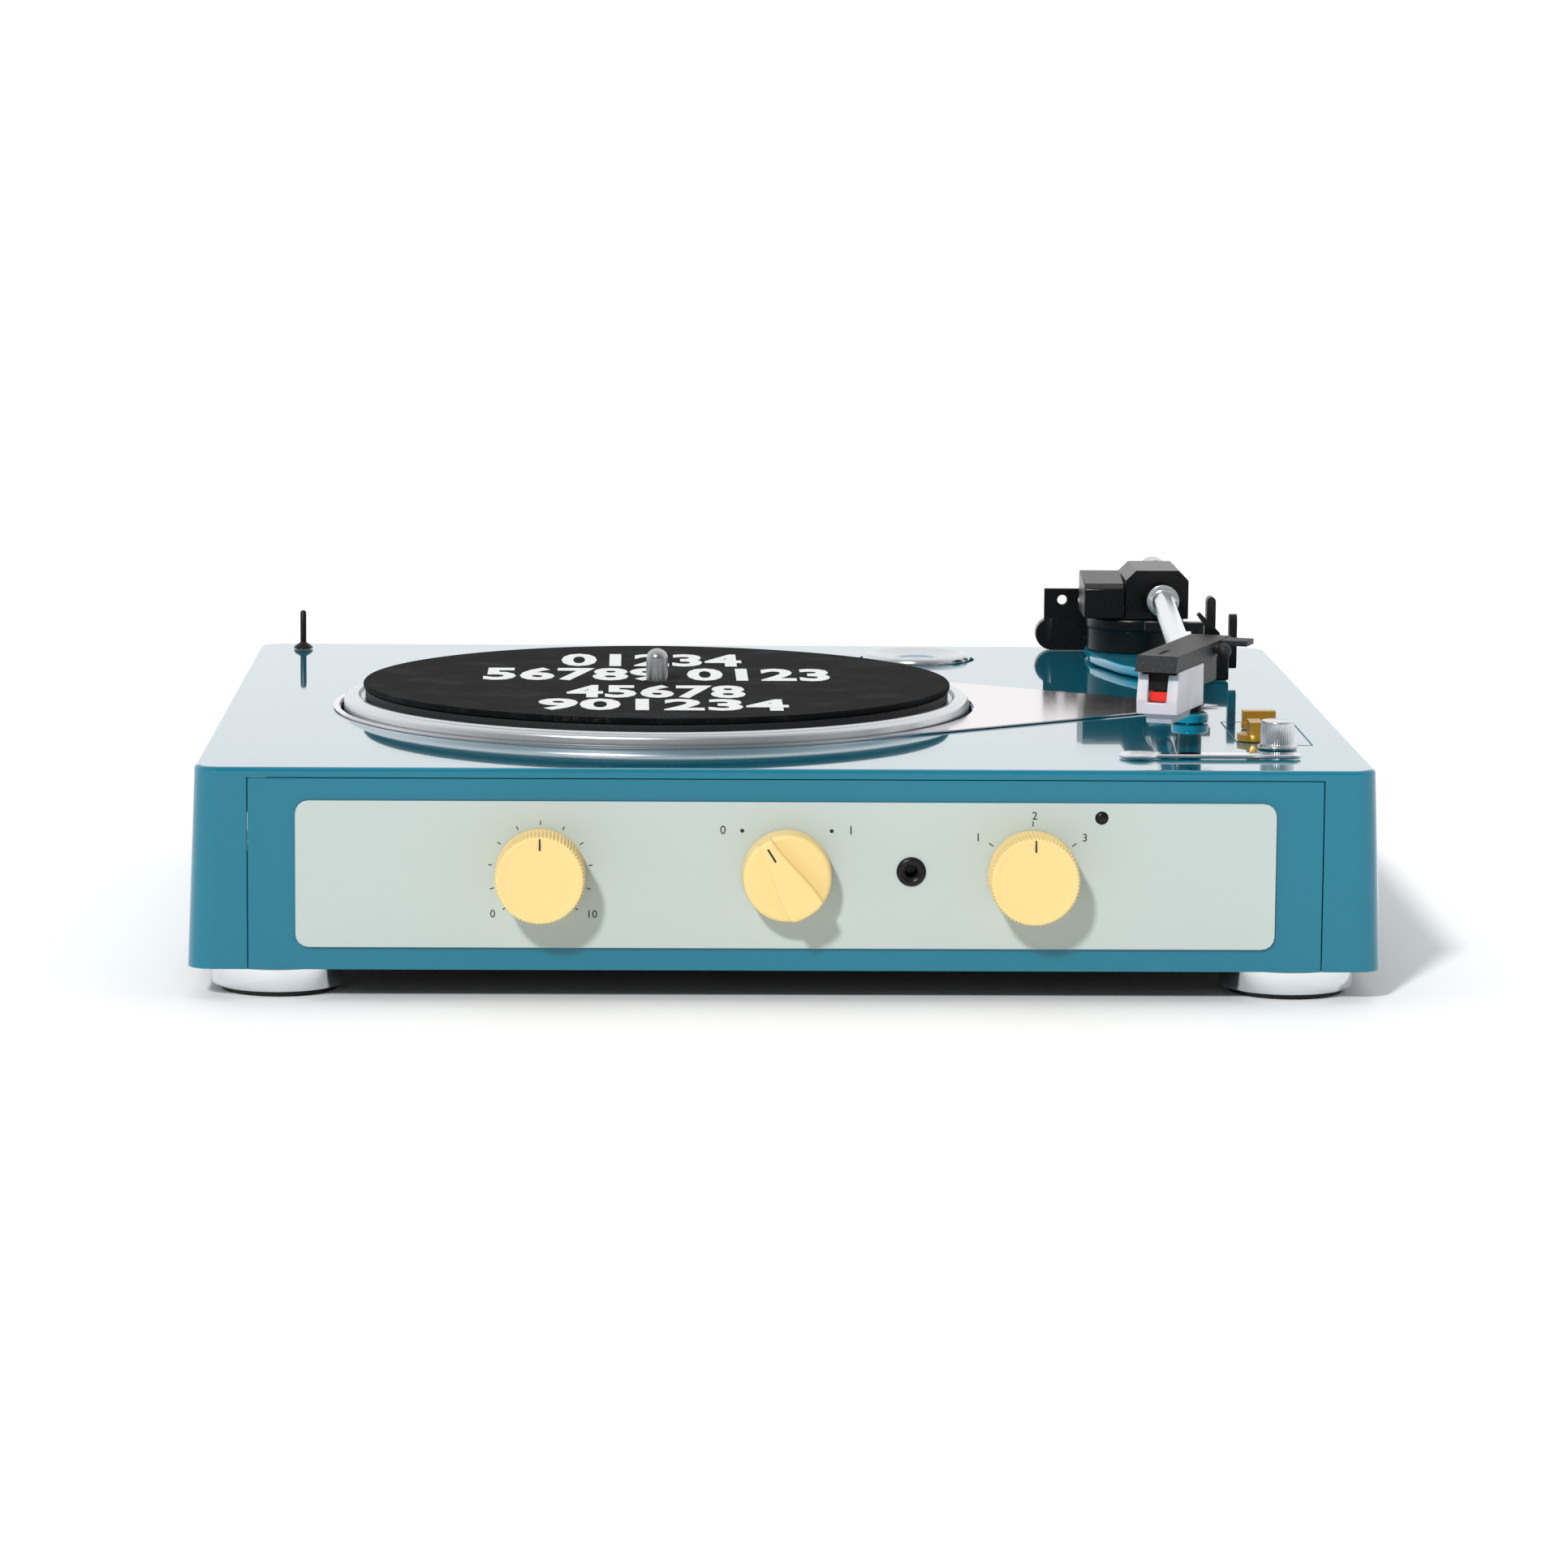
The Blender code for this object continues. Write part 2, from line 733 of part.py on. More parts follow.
def arm_swivel():
    """The swivel turns on the foot and carries the lift pin in its tower."""
    x, y, z = PIVOT
    low = ARM_BASE_TOP + GAP
    yoke = turned(
        "tonearm_yoke",
        [
            (0, SWIVEL_TOP),
            (SWIVEL_R, SWIVEL_TOP),
            (SWIVEL_R, low),
            (SWIVEL_SHAFT_R, low),
            (SWIVEL_SHAFT_R, PLINTH_TOP + 0.0036),
            (0, PLINTH_TOP + 0.0036),
        ],
        BLACK,
        (x, y, 0),
        steps=24,
    )
    side = [(0.1050, low), (0.1310, low), (0.1310, 0.1030), (0.1080, 0.1006), (0.1050, 0.0990)]
    tower = helper(across_x(side, (TOWER_LEFT, TOWER_LEFT + TOWER_W)))
    bar = helper(box((TOWER_LEFT + 0.003, x), (y - 0.006, y + 0.006), (low, SWIVEL_TOP)))
    pin = helper(rod(PIVOT_PIN_R, (TOWER_LEFT + 0.010, y, z), (x - 0.002, y, z), 16))
    join(yoke, tower, bar, pin)
    floor = ARM_BASE_TOP + GAP
    high = BLOCK_TOP - BLOCK_CHAMFER
    left, right = BLOCK_LEFT, BLOCK_LEFT + BLOCK_W
    front_view = [
        (left, floor),
        (right, floor),
        (right, high),
        (right - BLOCK_CHAMFER, BLOCK_TOP),
        (left + BLOCK_CHAMFER, BLOCK_TOP),
        (left, high),
    ]
    mesh = outline([front_view], BLOCK_REAR - BLOCK_FRONT)
    mesh.transform(
        Matrix(((1, 0, 0, 0), (0, 0, -1, BLOCK_REAR), (0, 1, 0, 0), (0, 0, 0, 1)))
    )
    block = place("arm_block", mesh, BLACK)
    lip = y - SWIVEL_R - 0.0006
    under = [
        (lip, floor - 0.002),
        (0.2, floor - 0.002),
        (0.2, 0.0910 + (0.2 - y) * math.tan(math.radians(16))),
        (y - 0.001, 0.0910),
        (lip, 0.0910),
    ]
    cut(
        block,
        helper(across_x(under, (left - 0.002, right + 0.002))),
        helper(rod(PIVOT_PIN_R + GAP, (left - 0.002, y, z), (x - 0.001, y, z), 16)),
        helper(rod(TUBE_R + GAP, tube_point(-0.004), tube_point(0.03), 24)),
        helper(rod(0.0025 + GAP, (x, BLOCK_REAR - 0.005, WEIGHT_Z), (x, 0.15, WEIGHT_Z), 16)),
    )
    weight = place(
        "counterweight",
        rod(WEIGHT_R, (x, BLOCK_REAR + 0.003, WEIGHT_Z), (x, BLOCK_REAR + 0.003 + WEIGHT_L, WEIGHT_Z), 24),
        STEEL,
    )
    join(weight, helper(rod(0.0025, (x, BLOCK_REAR - 0.0045, WEIGHT_Z), (x, BLOCK_REAR + 0.006, WEIGHT_Z), 16)))


def tube_point(along):
    """A point this far from the rear end of the tube towards the head."""
    rear, ahead = Vector(TUBE_REAR), Vector(TUBE_FRONT)
    return rear + (ahead - rear).normalized() * along


def arm_tube():
    tube = place("arm_tube", rod(TUBE_R, TUBE_REAR, TUBE_FRONT, 24), ALUMINIUM)
    collar = TUBE_REAR[1] - BLOCK_FRONT + GAP * 2
    join(tube, helper(rod(COLLAR_R, tube_point(collar), tube_point(collar + COLLAR_L), 24)))


def head():
    """The head shell and what hangs under it, along the turned head's own line."""
    frame = bpy.data.objects.new("head_line", None)
    PARTS.objects.link(frame)
    frame.parent = ROOT
    frame.location = (*HEAD_AT, 0)
    frame.rotation_euler = (0, 0, HEAD_TURN)
    half = HEAD_W / 2
    side = [
        (-HEAD_L + 0.0015, HEAD_TOP),
        (-HEAD_L - 0.0018, HEAD_UNDER),
        (-0.0200, HEAD_UNDER),
        (-0.0080, 0.0990),
        (0, 0.0997),
        (0, HEAD_TOP),
    ]
    shell = place("headshell", across_x(side, (-half, half)), GREY_BLACK, parent=frame)
    join(
        shell,
        helper(across_x([(-0.012, 0.1002), (-0.003, 0.1002), (-0.003, HEAD_TOP - 0.0002),
                         (-0.012, HEAD_TOP - 0.0002)], (half - 0.002, 0.0150)), parent=frame),
        helper(box((half - 0.0020, half), (GUARD_BACK + GAP, -0.0170), (0.0900, 0.0990)), parent=frame),
        helper(rod(0.0010, (half - 0.001, -0.018, 0.0993), (0.0090, -0.018, 0.0993), 10), parent=frame),
        helper(ball(0.00245, (0.0092, -0.018, 0.0993)), parent=frame),
    )
    cut(
        shell,
        helper(rod(TUBE_R + GAP, tube_point(0.14), tube_point(TUBE_REAR[1] - TUBE_FRONT[1] + 0.0012), 24)),
        helper(box((-0.0018, -0.0002), (-0.0580, -0.0470), (HEAD_TOP - 0.0012, 0.11)), parent=frame),
    )
    width = CARTRIDGE_W / 2
    top = HEAD_UNDER - GAP
    place(
        "cartridge",
        across_x(
            [(-0.0600, top), (-0.0610, CARTRIDGE_FLOOR), (-0.0345, CARTRIDGE_FLOOR), (-0.0345, top)],
            (-width, width),
        ),
        BLACK,
        parent=frame,
    )
    carrier = CARTRIDGE_FLOOR - GAP
    stylus = place("stylus", box((-0.0028, 0.0028), (-0.0606, -0.0440), (0.0876, carrier)), RED, parent=frame)
    join(stylus, helper(rod(0.0004, (0, -0.0560, 0.0880), (0, -0.0585, STYLUS_TIP), 8), parent=frame))
    guard(frame)


def ball(radius, centre):
    bm = bmesh.new()
    bmesh.ops.create_uvsphere(bm, u_segments=14, v_segments=9, radius=radius)
    bmesh.ops.translate(bm, vec=centre, verts=bm.verts)
    return from_bmesh(bm)


def guard(frame):
    """A cap open at the top and the back, so that it slides off the front of the cartridge."""
    half = GUARD_W / 2
    inner = CARTRIDGE_W / 2 + GAP
    top = HEAD_UNDER - GAP
    skid = 0.0042
    side = [
        (GUARD_FRONT + 0.0012, top),
        (GUARD_FRONT - 0.0012, GUARD_FLOOR + 0.0045),
        (GUARD_FRONT - 0.0008, GUARD_FLOOR),
        (GUARD_BACK, GUARD_FLOOR),
        (GUARD_BACK, top),
    ]
    cap = place("stylus_guard", across_x(side, (-half, half)), MILKY, parent=frame)
    low = [
        (GUARD_FRONT + 0.0010, GUARD_FLOOR + 0.001),
        (GUARD_FRONT + 0.0022, GUARD_SKID),
        (GUARD_BACK - 0.0080, GUARD_SKID),
        (GUARD_BACK - 0.0040, GUARD_FLOOR + 0.001),
    ]
    join(cap, helper(across_x(low, (-skid, skid)), parent=frame))
    front = GUARD_FRONT + GUARD_WALL + 0.0001
    cut(
        cap,
        helper(box((-inner, inner), (front, 0), (GUARD_FLOOR + 0.0026, 0.11)), parent=frame),
        helper(box((-0.0020, 0.0020), (front + 0.002, 0), (GUARD_SKID + 0.0005, 0.09)), parent=frame),
        helper(box((-0.0031, 0.0031), (-0.07, front + 0.003), (0.0874, 0.11)), parent=frame),
    )


def arm_rest():
    x, y = REST_AT
    low = BODY_TOP + GAP
    turned(
        "arm_rest_base",
        [(0, low + 0.0030), (0.0056, low + 0.0030), (0.0060, low + 0.0026), (0.0060, low), (0, low)],
        TEAL,
        (x, y, 0),
        steps=28,
    )
    post_low = low + 0.0030 + GAP
    post = turned(
        "arm_rest_post",
        [(0, 0.0895), (REST_POST_R, 0.0895), (REST_POST_R, post_low), (0, post_low)],
        BLACK,
        (x, y, 0),
        steps=24,
    )
    half = PRONG_T / 2
    crown = PRONG_TOP - half
    stalk = [(PRONG_X - half, 0.0885), (PRONG_X + half, 0.0885)]
    stalk += arc((PRONG_X, crown), half, 0, math.pi, 6)
    mesh = outline([stalk], 0.0054)
    mesh.transform(Matrix(((1, 0, 0, 0), (0, 0, -1, y + 0.0027), (0, 1, 0, 0), (0, 0, 0, 1))))
    join(
        post,
        helper(box((0.1245, PRONG_X + half - 0.0001), (y - 0.0036, y + 0.0036), (0.0885, REST_TOP))),
        helper(mesh),
        helper(rod(0.0010, (PRONG_X, y - 0.0062, 0.1005), (PRONG_X, y, 0.1005), 12)),
    )
    hook = [
        (0.00285, -0.0010),
        (0.0026, 0.0014),
        (-0.0040, 0.0080),
        (-0.0050, 0.0072),
        (-0.0024, 0.0036),
        (-0.0026, -0.0014),
        (0.0, -0.0028),
    ]
    mesh = outline([hook], 0.0024)
    mesh.transform(Matrix(((1, 0, 0, 0), (0, 0, -1, 0), (0, 1, 0, 0), (0, 0, 0, 1))))
    clip = place("arm_clip", mesh, BLACK, (PRONG_X, y - 0.0027 - GAP, 0.1005))
    cut(clip, helper(rod(0.0010 + GAP, (PRONG_X, y - 0.008, 0.1005), (PRONG_X, y, 0.1005), 12)))


def cue():
    x, y = CUE_AT
    low = BODY_TOP + GAP
    right = 0.1577
    base_top = 0.0810
    stand = place("cue_base", box((0.1435, right), (y - 0.006, y + 0.006), (low, base_top)), BLACK)
    bevel(stand, 0.0005, 1)
    axle = 0.0780
    cut(
        stand,
        helper(rod(CUE_POST_R + GAP, (x, y, low + 0.001), (x, y, 0.09), 16)),
        helper(rod(0.0015 + GAP, (right - 0.004, y, axle), (0.17, y, axle), 12)),
    )
    platform = place(
        "cue_platform",
        box((0.1290, 0.1520), (y - 0.0024, y + 0.0024), (CUE_TOP - CUE_BAR_T, CUE_TOP)),
        BLACK,
    )
    join(platform, helper(rod(CUE_POST_R, (x, y, low + 0.0065), (x, y, CUE_TOP - 0.001), 16)))
    half = 0.0022
    loop = arc((y, CUE_LEVER_TOP - half), half, 0, math.pi, 6)
    loop += arc((y, axle), half, math.pi, 2 * math.pi, 6)
    mesh = across_x(loop, (right + GAP, right + GAP + CUE_LEVER_T))
    mesh.transform(Matrix.Translation((0, -y, -axle)))
    lever = place("cue_lever", mesh, BLACK, (0, y, axle))
    join(lever, helper(rod(0.0015, (right - 0.0035, y, axle), (right + 0.001, y, axle), 12)))


# ---------------------------------------------------------------- controls
def deck_controls():
    low = BODY_TOP + GAP
    for name, at, radius, fin, top in (
        ("speed_lever", SPEED_AT, 0.0056, (0.0020, 0.0052), 0.0784),
        ("autostop_lever", AUTOSTOP_AT, 0.0056, (0.0053, 0.0020), 0.0780),
    ):
        disc = turned(
            name,
            [(0, low + LEVER_DISC_T), (radius, low + LEVER_DISC_T), (radius, low), (0, low)],
            GOLD,
            (*at, 0),
            steps=24,
        )
        x, y = at
        blade = box((x - fin[0], x + fin[0]), (y - fin[1], y + fin[1]), (low + 0.001, top))
        join(disc, helper(blade))
    turned(
        "pitch_knob",
        [
            (0, PITCH_TOP),
            (PITCH_R - 0.0004, PITCH_TOP),
            (PITCH_R, PITCH_TOP - 0.0004),
            (PITCH_R, low + 0.0010),
            (PITCH_R + 0.0010, low + 0.0008),
            (PITCH_R + 0.0010, low),
            (0, low),
        ],
        ALUMINIUM,
        (*PITCH_AT, 0),
        steps=28,
    )


def front_controls():
    """Each knob has its shaft, which turns in the switch or control behind the panel."""
    for name, x, switch in (
        ("volume_knob", -KNOB_PITCH, "volume_pot"),
        ("power_knob", 0, "power_switch"),
        ("select_knob", KNOB_PITCH, "select_switch"),
    ):
        back = PLATE_FACE - GAP
        reach = PANEL_BACK + GAP + SWITCH_D - 0.0020
        face = [
            (0, -KNOB_FACE),
            (KNOB_R - 0.0010, -KNOB_FACE),
            (KNOB_R - 0.0002, -KNOB_FACE - 0.0010),
            (KNOB_R, -back),
            (SHAFT_R, -back),
            (SHAFT_R, -reach),
            (0, -reach),
        ]
        turned(name, face, CREAM, (x, 0, KNOB_Z), (math.radians(90), 0, 0), steps=28)
        half = SWITCH_W / 2
        near = PANEL_BACK + GAP
        body = place(
            switch,
            box((x - half, x + half), (near, near + SWITCH_D), (KNOB_Z - half, KNOB_Z + half)),
            STEEL,
        )
        cut(body, helper(rod(SHAFT_R + GAP, (x, near - 0.002, KNOB_Z), (x, near + SWITCH_D - 0.0012, KNOB_Z), 16)))
    jack_back = PANEL_BACK + 0.0070
    turned(
        "aux_jack",
        [
            (0, -PLATE_FACE - 0.0080),
            (0.0018, -PLATE_FACE - 0.0080),
            (0.0018, -PLATE_FACE + 0.0006),
            (JACK_R, -PLATE_FACE + 0.0010),
            (JACK_R, -PLATE_FACE + GAP),
            (JACK_R - 0.0006, -PLATE_FACE + GAP),
            (JACK_R - 0.0006, -jack_back),
            (0, -jack_back),
        ],
        BLACK,
        (JACK_AT[0], 0, JACK_AT[1]),
        (math.radians(90), 0, 0),
        steps=24,
    )
    turned(
        "led_lens",
        [
            (0, -PLATE_FACE + 0.0006),
            (LED_R * 0.7, -PLATE_FACE + 0.0004),
            (LED_R, -PLATE_FACE),
            (LED_R, -PANEL_BACK),
            (0, -PANEL_BACK),
        ],
        BLACK,
        (LED_AT[0], 0, LED_AT[1]),
        (math.radians(90), 0, 0),
        steps=16,
    )


def inside():
    near = PANEL_BACK + GAP + SWITCH_D + GAP
    place("amp_board", box((-0.0950, 0.0950), (near, near + 0.0016), (0.0260, 0.0540)), BOARD)
    floor = BODY_BOTTOM + BASE_T + GAP
    for name, side in (("speaker_left", -1), ("speaker_right", 1)):
        turned(
            name,
            [
                (0, floor + 0.0260),
                (0.0140, floor + 0.0260),
                (0.0140, floor + 0.0180),
                (SPEAKER_R - 0.0040, floor + 0.0020),
                (SPEAKER_R, floor + 0.0020),
                (SPEAKER_R, floor),
                (SPEAKER_R - 0.0040, floor),
                (0.0080, floor + 0.0120),
                (0, floor + 0.0120),
            ],
            STEEL,
            (side * SPEAKER_AT[0], SPEAKER_AT[1], 0),
            steps=16,
        )
    inner = REAR - WALL - GAP
    places = socket_places()
    z = SOCKET_AT[1]
    sockets = place(
        "rear_sockets",
        box((places[0] - 0.008, places[2] + 0.008), (inner - 0.010, inner), (z - 0.008, z + 0.008)),
        BLACK,
    )
    reach = (SOCKET_OUT, SOCKET_OUT, 0.0006)
    for x, out in zip(places, reach):
        join(sockets, helper(rod(SOCKET_R, (x, inner - 0.004, z), (x, REAR + out, z), 14)))
    for x in places:
        cut(sockets, helper(rod(0.0016, (x, inner - 0.003, z), (x, REAR + 0.02, z), 8)))


clear_scene()
PARTS = collection("record_player")
TOOLS = collection("cutters")
ROOT = bpy.data.objects.new("record_player_frame", None)
PARTS.objects.link(ROOT)
ROOT.location = (0, SHIFT_Y, 0)
TEAL = material("teal_gloss", "008399", 0.12)
TEAL_IN = material("teal_inner", "00606E", 0.45)
PALE = material("pale_plate", "D3DFDB", 0.45)
CREAM = material("cream_plastic", "FFE8A8", 0.45)
BLACK = material("black_plastic", "15171A", 0.45)
GREY_BLACK = material("headshell_plastic", "3A3C3E", 0.55)
CHROME = material("chrome", "E8EAEC", 0.08, 1.0)
STEEL = material("steel", "C8CACC", 0.30, 1.0)
ALUMINIUM = material("aluminium", "C9CDCF", 0.32, 1.0)
SILVER = material("silver_film", "DCD5D6", 0.25, 0.6)
BRASS = material("brass", "C8A35A", 0.35, 1.0)
GOLD = material("gold_plastic", "C9A24A", 0.35, 0.3)
RUBBER = material("rubber", "1C1D1F", 0.80)
FELT = material("felt", "26282B", 0.95)
MILKY = material("milky_plastic", "E8E4E8", 0.40)
RED = material("red_plastic", "FF2A10", 0.40)
BOARD = material("board", "1E5B3A", 0.60)

cabinet()
front()
base()
turntable()
drive()
deck_plates()
trim()
arm_base()
arm_swivel()
arm_tube()
head()
arm_rest()
cue()
deck_controls()
front_controls()
inside()
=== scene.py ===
"""A glossy table-top record player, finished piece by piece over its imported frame."""

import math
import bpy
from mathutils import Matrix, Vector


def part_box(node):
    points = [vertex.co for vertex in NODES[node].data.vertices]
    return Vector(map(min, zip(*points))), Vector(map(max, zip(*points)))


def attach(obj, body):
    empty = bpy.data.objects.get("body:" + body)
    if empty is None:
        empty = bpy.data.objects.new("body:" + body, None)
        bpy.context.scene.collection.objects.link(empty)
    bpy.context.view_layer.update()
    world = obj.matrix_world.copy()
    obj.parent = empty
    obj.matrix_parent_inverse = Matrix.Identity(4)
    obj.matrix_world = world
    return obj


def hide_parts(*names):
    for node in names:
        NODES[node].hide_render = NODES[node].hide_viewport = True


bl_info = {
    "name": "Table-top record player",
    "version": (1, 0, 0),
    "blender": (4, 5, 0),
    "location": "3D View > Sidebar > Record player",
    "description": "Builds the record player's finished surfaces, its light and its camera",
    "category": "Add Mesh",
}

import bmesh
import bpy
import numpy as np
from bpy.props import FloatProperty, FloatVectorProperty, IntProperty, PointerProperty
from mathutils import Matrix, Vector

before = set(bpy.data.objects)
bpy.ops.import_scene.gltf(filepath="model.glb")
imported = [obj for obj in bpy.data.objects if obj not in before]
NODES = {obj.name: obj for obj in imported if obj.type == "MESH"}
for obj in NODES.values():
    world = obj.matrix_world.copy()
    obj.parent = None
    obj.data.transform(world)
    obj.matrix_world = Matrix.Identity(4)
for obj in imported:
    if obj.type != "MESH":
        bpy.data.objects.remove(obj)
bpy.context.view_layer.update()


def corner(name, end, axis):
    """One value of a node's box: end 0 is the low corner, 1 the high one."""
    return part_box(name)[end][axis]


def middle(name):
    low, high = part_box(name)
    return [(a + b) / 2 for a, b in zip(low, high)]


def linear(code):
    """An sRGB hex value as linear colour."""
    values = [int(code[i : i + 2], 16) / 255 for i in (0, 2, 4)]
    return [v / 12.92 if v <= 0.04045 else ((v + 0.055) / 1.055) ** 2.4 for v in values]


# ------------------------------------------------------------ settings of the add-on
def colour(name, code, words):
    return FloatVectorProperty(
        name=name, description=words, default=linear(code), size=3, subtype="COLOR", min=0, max=1
    )


def length(name, value, words):
    return FloatProperty(
        name=name, description=words, default=value, unit="LENGTH", subtype="DISTANCE"
    )


class RecordPlayerColours(bpy.types.PropertyGroup):
    """The colours that a user would change."""

    cabinet: colour("Cabinet", "006F86", "Gloss cabinet moulding")
    plate: colour("Face plate", "B9C4C0", "Coated control plate")
    knobs: colour("Knobs", "EACF8B", "Cream knobs")
    levers: colour("Levers", "B98A2C", "Gold deck levers")
    felt: colour("Felt", "101113", "Slipmat felt")
    guard: colour("Stylus guard", "D9D3DA", "Milky stylus guard")
    stylus: colour("Stylus", "F0200A", "Stylus carrier")
    print_ink: colour("Dial ink", "14181A", "Marks on the face plate")


class RecordPlayerSizes(bpy.types.PropertyGroup):
    """The fine sizes that the finished surfaces add to the frame."""

    ribs: IntProperty(name="Knob ribs", description="Ribs round a knob", default=72, min=12)
    rib_depth: length("Rib depth", 0.00055, "How deep the ribs are cut")
    edge: length("Moulded edge", 0.0004, "Radius left on small moulded edges")
    tick: length("Dial tick", 0.0012, "Length of a dial tick")


# ------------------------------------------------------------ meshes from numpy
def grid_faces(rows, columns, wrap):
    """Quads of a grid of rows x columns points, joined round the columns when wrap is set."""
    i = np.arange(rows - 1)[:, None]
    j = np.arange(columns if wrap else columns - 1)[None, :]
    k = (j + 1) % columns
    quads = np.stack(
        [i * columns + j, (i + 1) * columns + j, (i + 1) * columns + k, i * columns + k], axis=-1
    )
    return quads.reshape(-1, 4)


def mesh_of(name, points, faces):
    mesh = bpy.data.meshes.new(name)
    mesh.from_pydata(np.asarray(points).tolist(), [], [list(f) for f in np.asarray(faces).tolist()])
    mesh.update()
    return mesh


def tidy(mesh, merge=1e-6, flat=False):
    """Merges doubles, closes poles and turns all faces outwards."""
    bm = bmesh.new()
    bm.from_mesh(mesh)
    bmesh.ops.remove_doubles(bm, verts=bm.verts, dist=merge)
    if flat:
        bmesh.ops.dissolve_limit(bm, angle_limit=0.01, verts=bm.verts, edges=bm.edges)
    bmesh.ops.recalc_face_normals(bm, faces=bm.faces)
    bm.to_mesh(mesh)
    bm.free()
    return mesh


def piece(name, mesh, look, body, nodes=(), sharp=35):
    """A finished piece: it rides on a body and stands for the CAD nodes it covers."""
    obj = bpy.data.objects.new(name, mesh)
    bpy.context.scene.collection.objects.link(obj)
    mesh.materials.clear()
    mesh.materials.append(look)
    mesh.shade_smooth()
    mesh.set_sharp_from_angle(angle=math.radians(sharp))
    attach(obj, body)
    if nodes:
        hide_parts(*nodes)
    return obj


def rounded(profile, radius, steps=4):
    """Each inner corner of a profile (radius, height) is cut back and turned into a short arc
    that blends the two edges: point = (1-t)^2 a + 2t(1-t) corner + t^2 b."""
    profile = np.asarray(profile, float)
    out = [profile[0]]
    t = np.linspace(0, 1, steps + 1)[:, None]
    for before, here, after in zip(profile[:-2], profile[1:-1], profile[2:]):
        back, ahead = before - here, after - here
        reach = min(radius, 0.45 * np.linalg.norm(back), 0.45 * np.linalg.norm(ahead))
        a = here + back / np.linalg.norm(back) * reach
        b = here + ahead / np.linalg.norm(ahead) * reach
        out.extend((1 - t) ** 2 * a + 2 * t * (1 - t) * here + t**2 * b)
    out.append(profile[-1])
    return np.array(out)


def revolve(profile, steps, centre, axis=(0, 0, 1), wave=None, closed=False):
    """A profile carried round an axis: point = centre + axis h + r (u cos a + v sin a), with
    wave(a, r, h) added to r where the turned wall is ribbed."""
    profile = np.asarray(profile, float)
    if closed:
        profile = np.vstack([profile, profile[:1]])
    axis = Vector(axis).normalized()
    u = axis.orthogonal().normalized() if abs(axis.z) < 0.99 else Vector((1, 0, 0))
    v = axis.cross(u)
    angle = np.linspace(0, 2 * np.pi, steps, endpoint=False)[None, :]
    r, h = profile[:, 0:1], profile[:, 1:2]
    radius = r + (wave(angle, r, h) if wave else 0 * angle)
    points = (
        np.array(centre)
        + h[..., None] * np.array(axis)
        + (radius * np.cos(angle))[..., None] * np.array(u)
        + (radius * np.sin(angle))[..., None] * np.array(v)
    )
    return tidy(mesh_of("turned", points.reshape(-1, 3), grid_faces(len(profile), steps, True)))


def capped(layers):
    """Two rings of points joined by a wall and closed at both ends."""
    count = len(layers[0])
    mesh = bpy.data.meshes.new("capped")
    wall = grid_faces(2, count, True).tolist()
    ends = [list(range(count)), list(range(count, 2 * count))]
    mesh.from_pydata(np.vstack(layers).tolist(), [], wall + ends)
    return tidy(mesh)


def prism(loop, low, high):
    """A flat outline (x, y) carried straight from height low to height high and capped."""
    loop = np.asarray(loop, float)
    return capped([np.c_[loop, np.full(len(loop), z)] for z in (low, high)])


def refined(name, look, body):
    """A merged copy of a CAD node, which soft_edges can round where it needs to catch light."""
    mesh = tidy(NODES[name].data.copy(), 1e-5, flat=True)
    return piece(name + "_finish", mesh, look, body, (name,), sharp=40)


# ------------------------------------------------------------ materials
def add(tree, kind, values=None, **settings):
    """Adds a node: settings are its own options, values are input values or sockets to link."""
    made = tree.nodes.new(kind)
    for key, value in settings.items():
        setattr(made, key, value)
    for key, value in (values or {}).items():
        if isinstance(value, bpy.types.NodeSocket):
            tree.links.new(value, made.inputs[key])
        else:
            made.inputs[key].default_value = value
    return made


def surface(name, base, **values):
    """A Principled surface with constants straight on its sockets."""
    look = bpy.data.materials.new(name)
    look.use_nodes = True
    tree = look.node_tree
    shader = tree.nodes["Principled BSDF"]
    shader.inputs["Base Color"].default_value = (*base, 1)
    for key, value in values.items():
        shader.inputs[key.replace("_", " ")].default_value = value
    place = add(tree, "ShaderNodeTexCoord").outputs["Object"]
    return look, tree, shader, place


def ramp(tree, factor, stops):
    """A colour ramp of (position, linear colour) stops."""
    made = add(tree, "ShaderNodeValToRGB", {"Fac": factor})
    made.color_ramp.elements[0].position = stops[0][0]
    made.color_ramp.elements[0].color = (*stops[0][1], 1)
    made.color_ramp.elements[1].position = stops[-1][0]
    made.color_ramp.elements[1].color = (*stops[-1][1], 1)
    for position, value in stops[1:-1]:
        made.color_ramp.elements.new(position).color = (*value, 1)
    return made.outputs["Color"]


def grained(look_parts, scale, low, high, bump, distance=0.0002, detail=3.0):
    """Fine noise that varies the roughness from low to high and raises the surface a little."""
    look, tree, shader, place = look_parts
    noise = add(tree, "ShaderNodeTexNoise", {"Vector": place, "Scale": scale, "Detail": detail})
    values = {"From Min": 0.3, "From Max": 0.7, "To Min": low, "To Max": high}
    spread = add(tree, "ShaderNodeMapRange", {"Value": noise.outputs["Fac"], **values})
    tree.links.new(spread.outputs["Result"], shader.inputs["Roughness"])
    raised = add(
        tree,
        "ShaderNodeBump",
        {"Height": noise.outputs["Fac"], "Strength": bump, "Distance": distance},
    )
    tree.links.new(raised.outputs["Normal"], shader.inputs["Normal"])
    return look


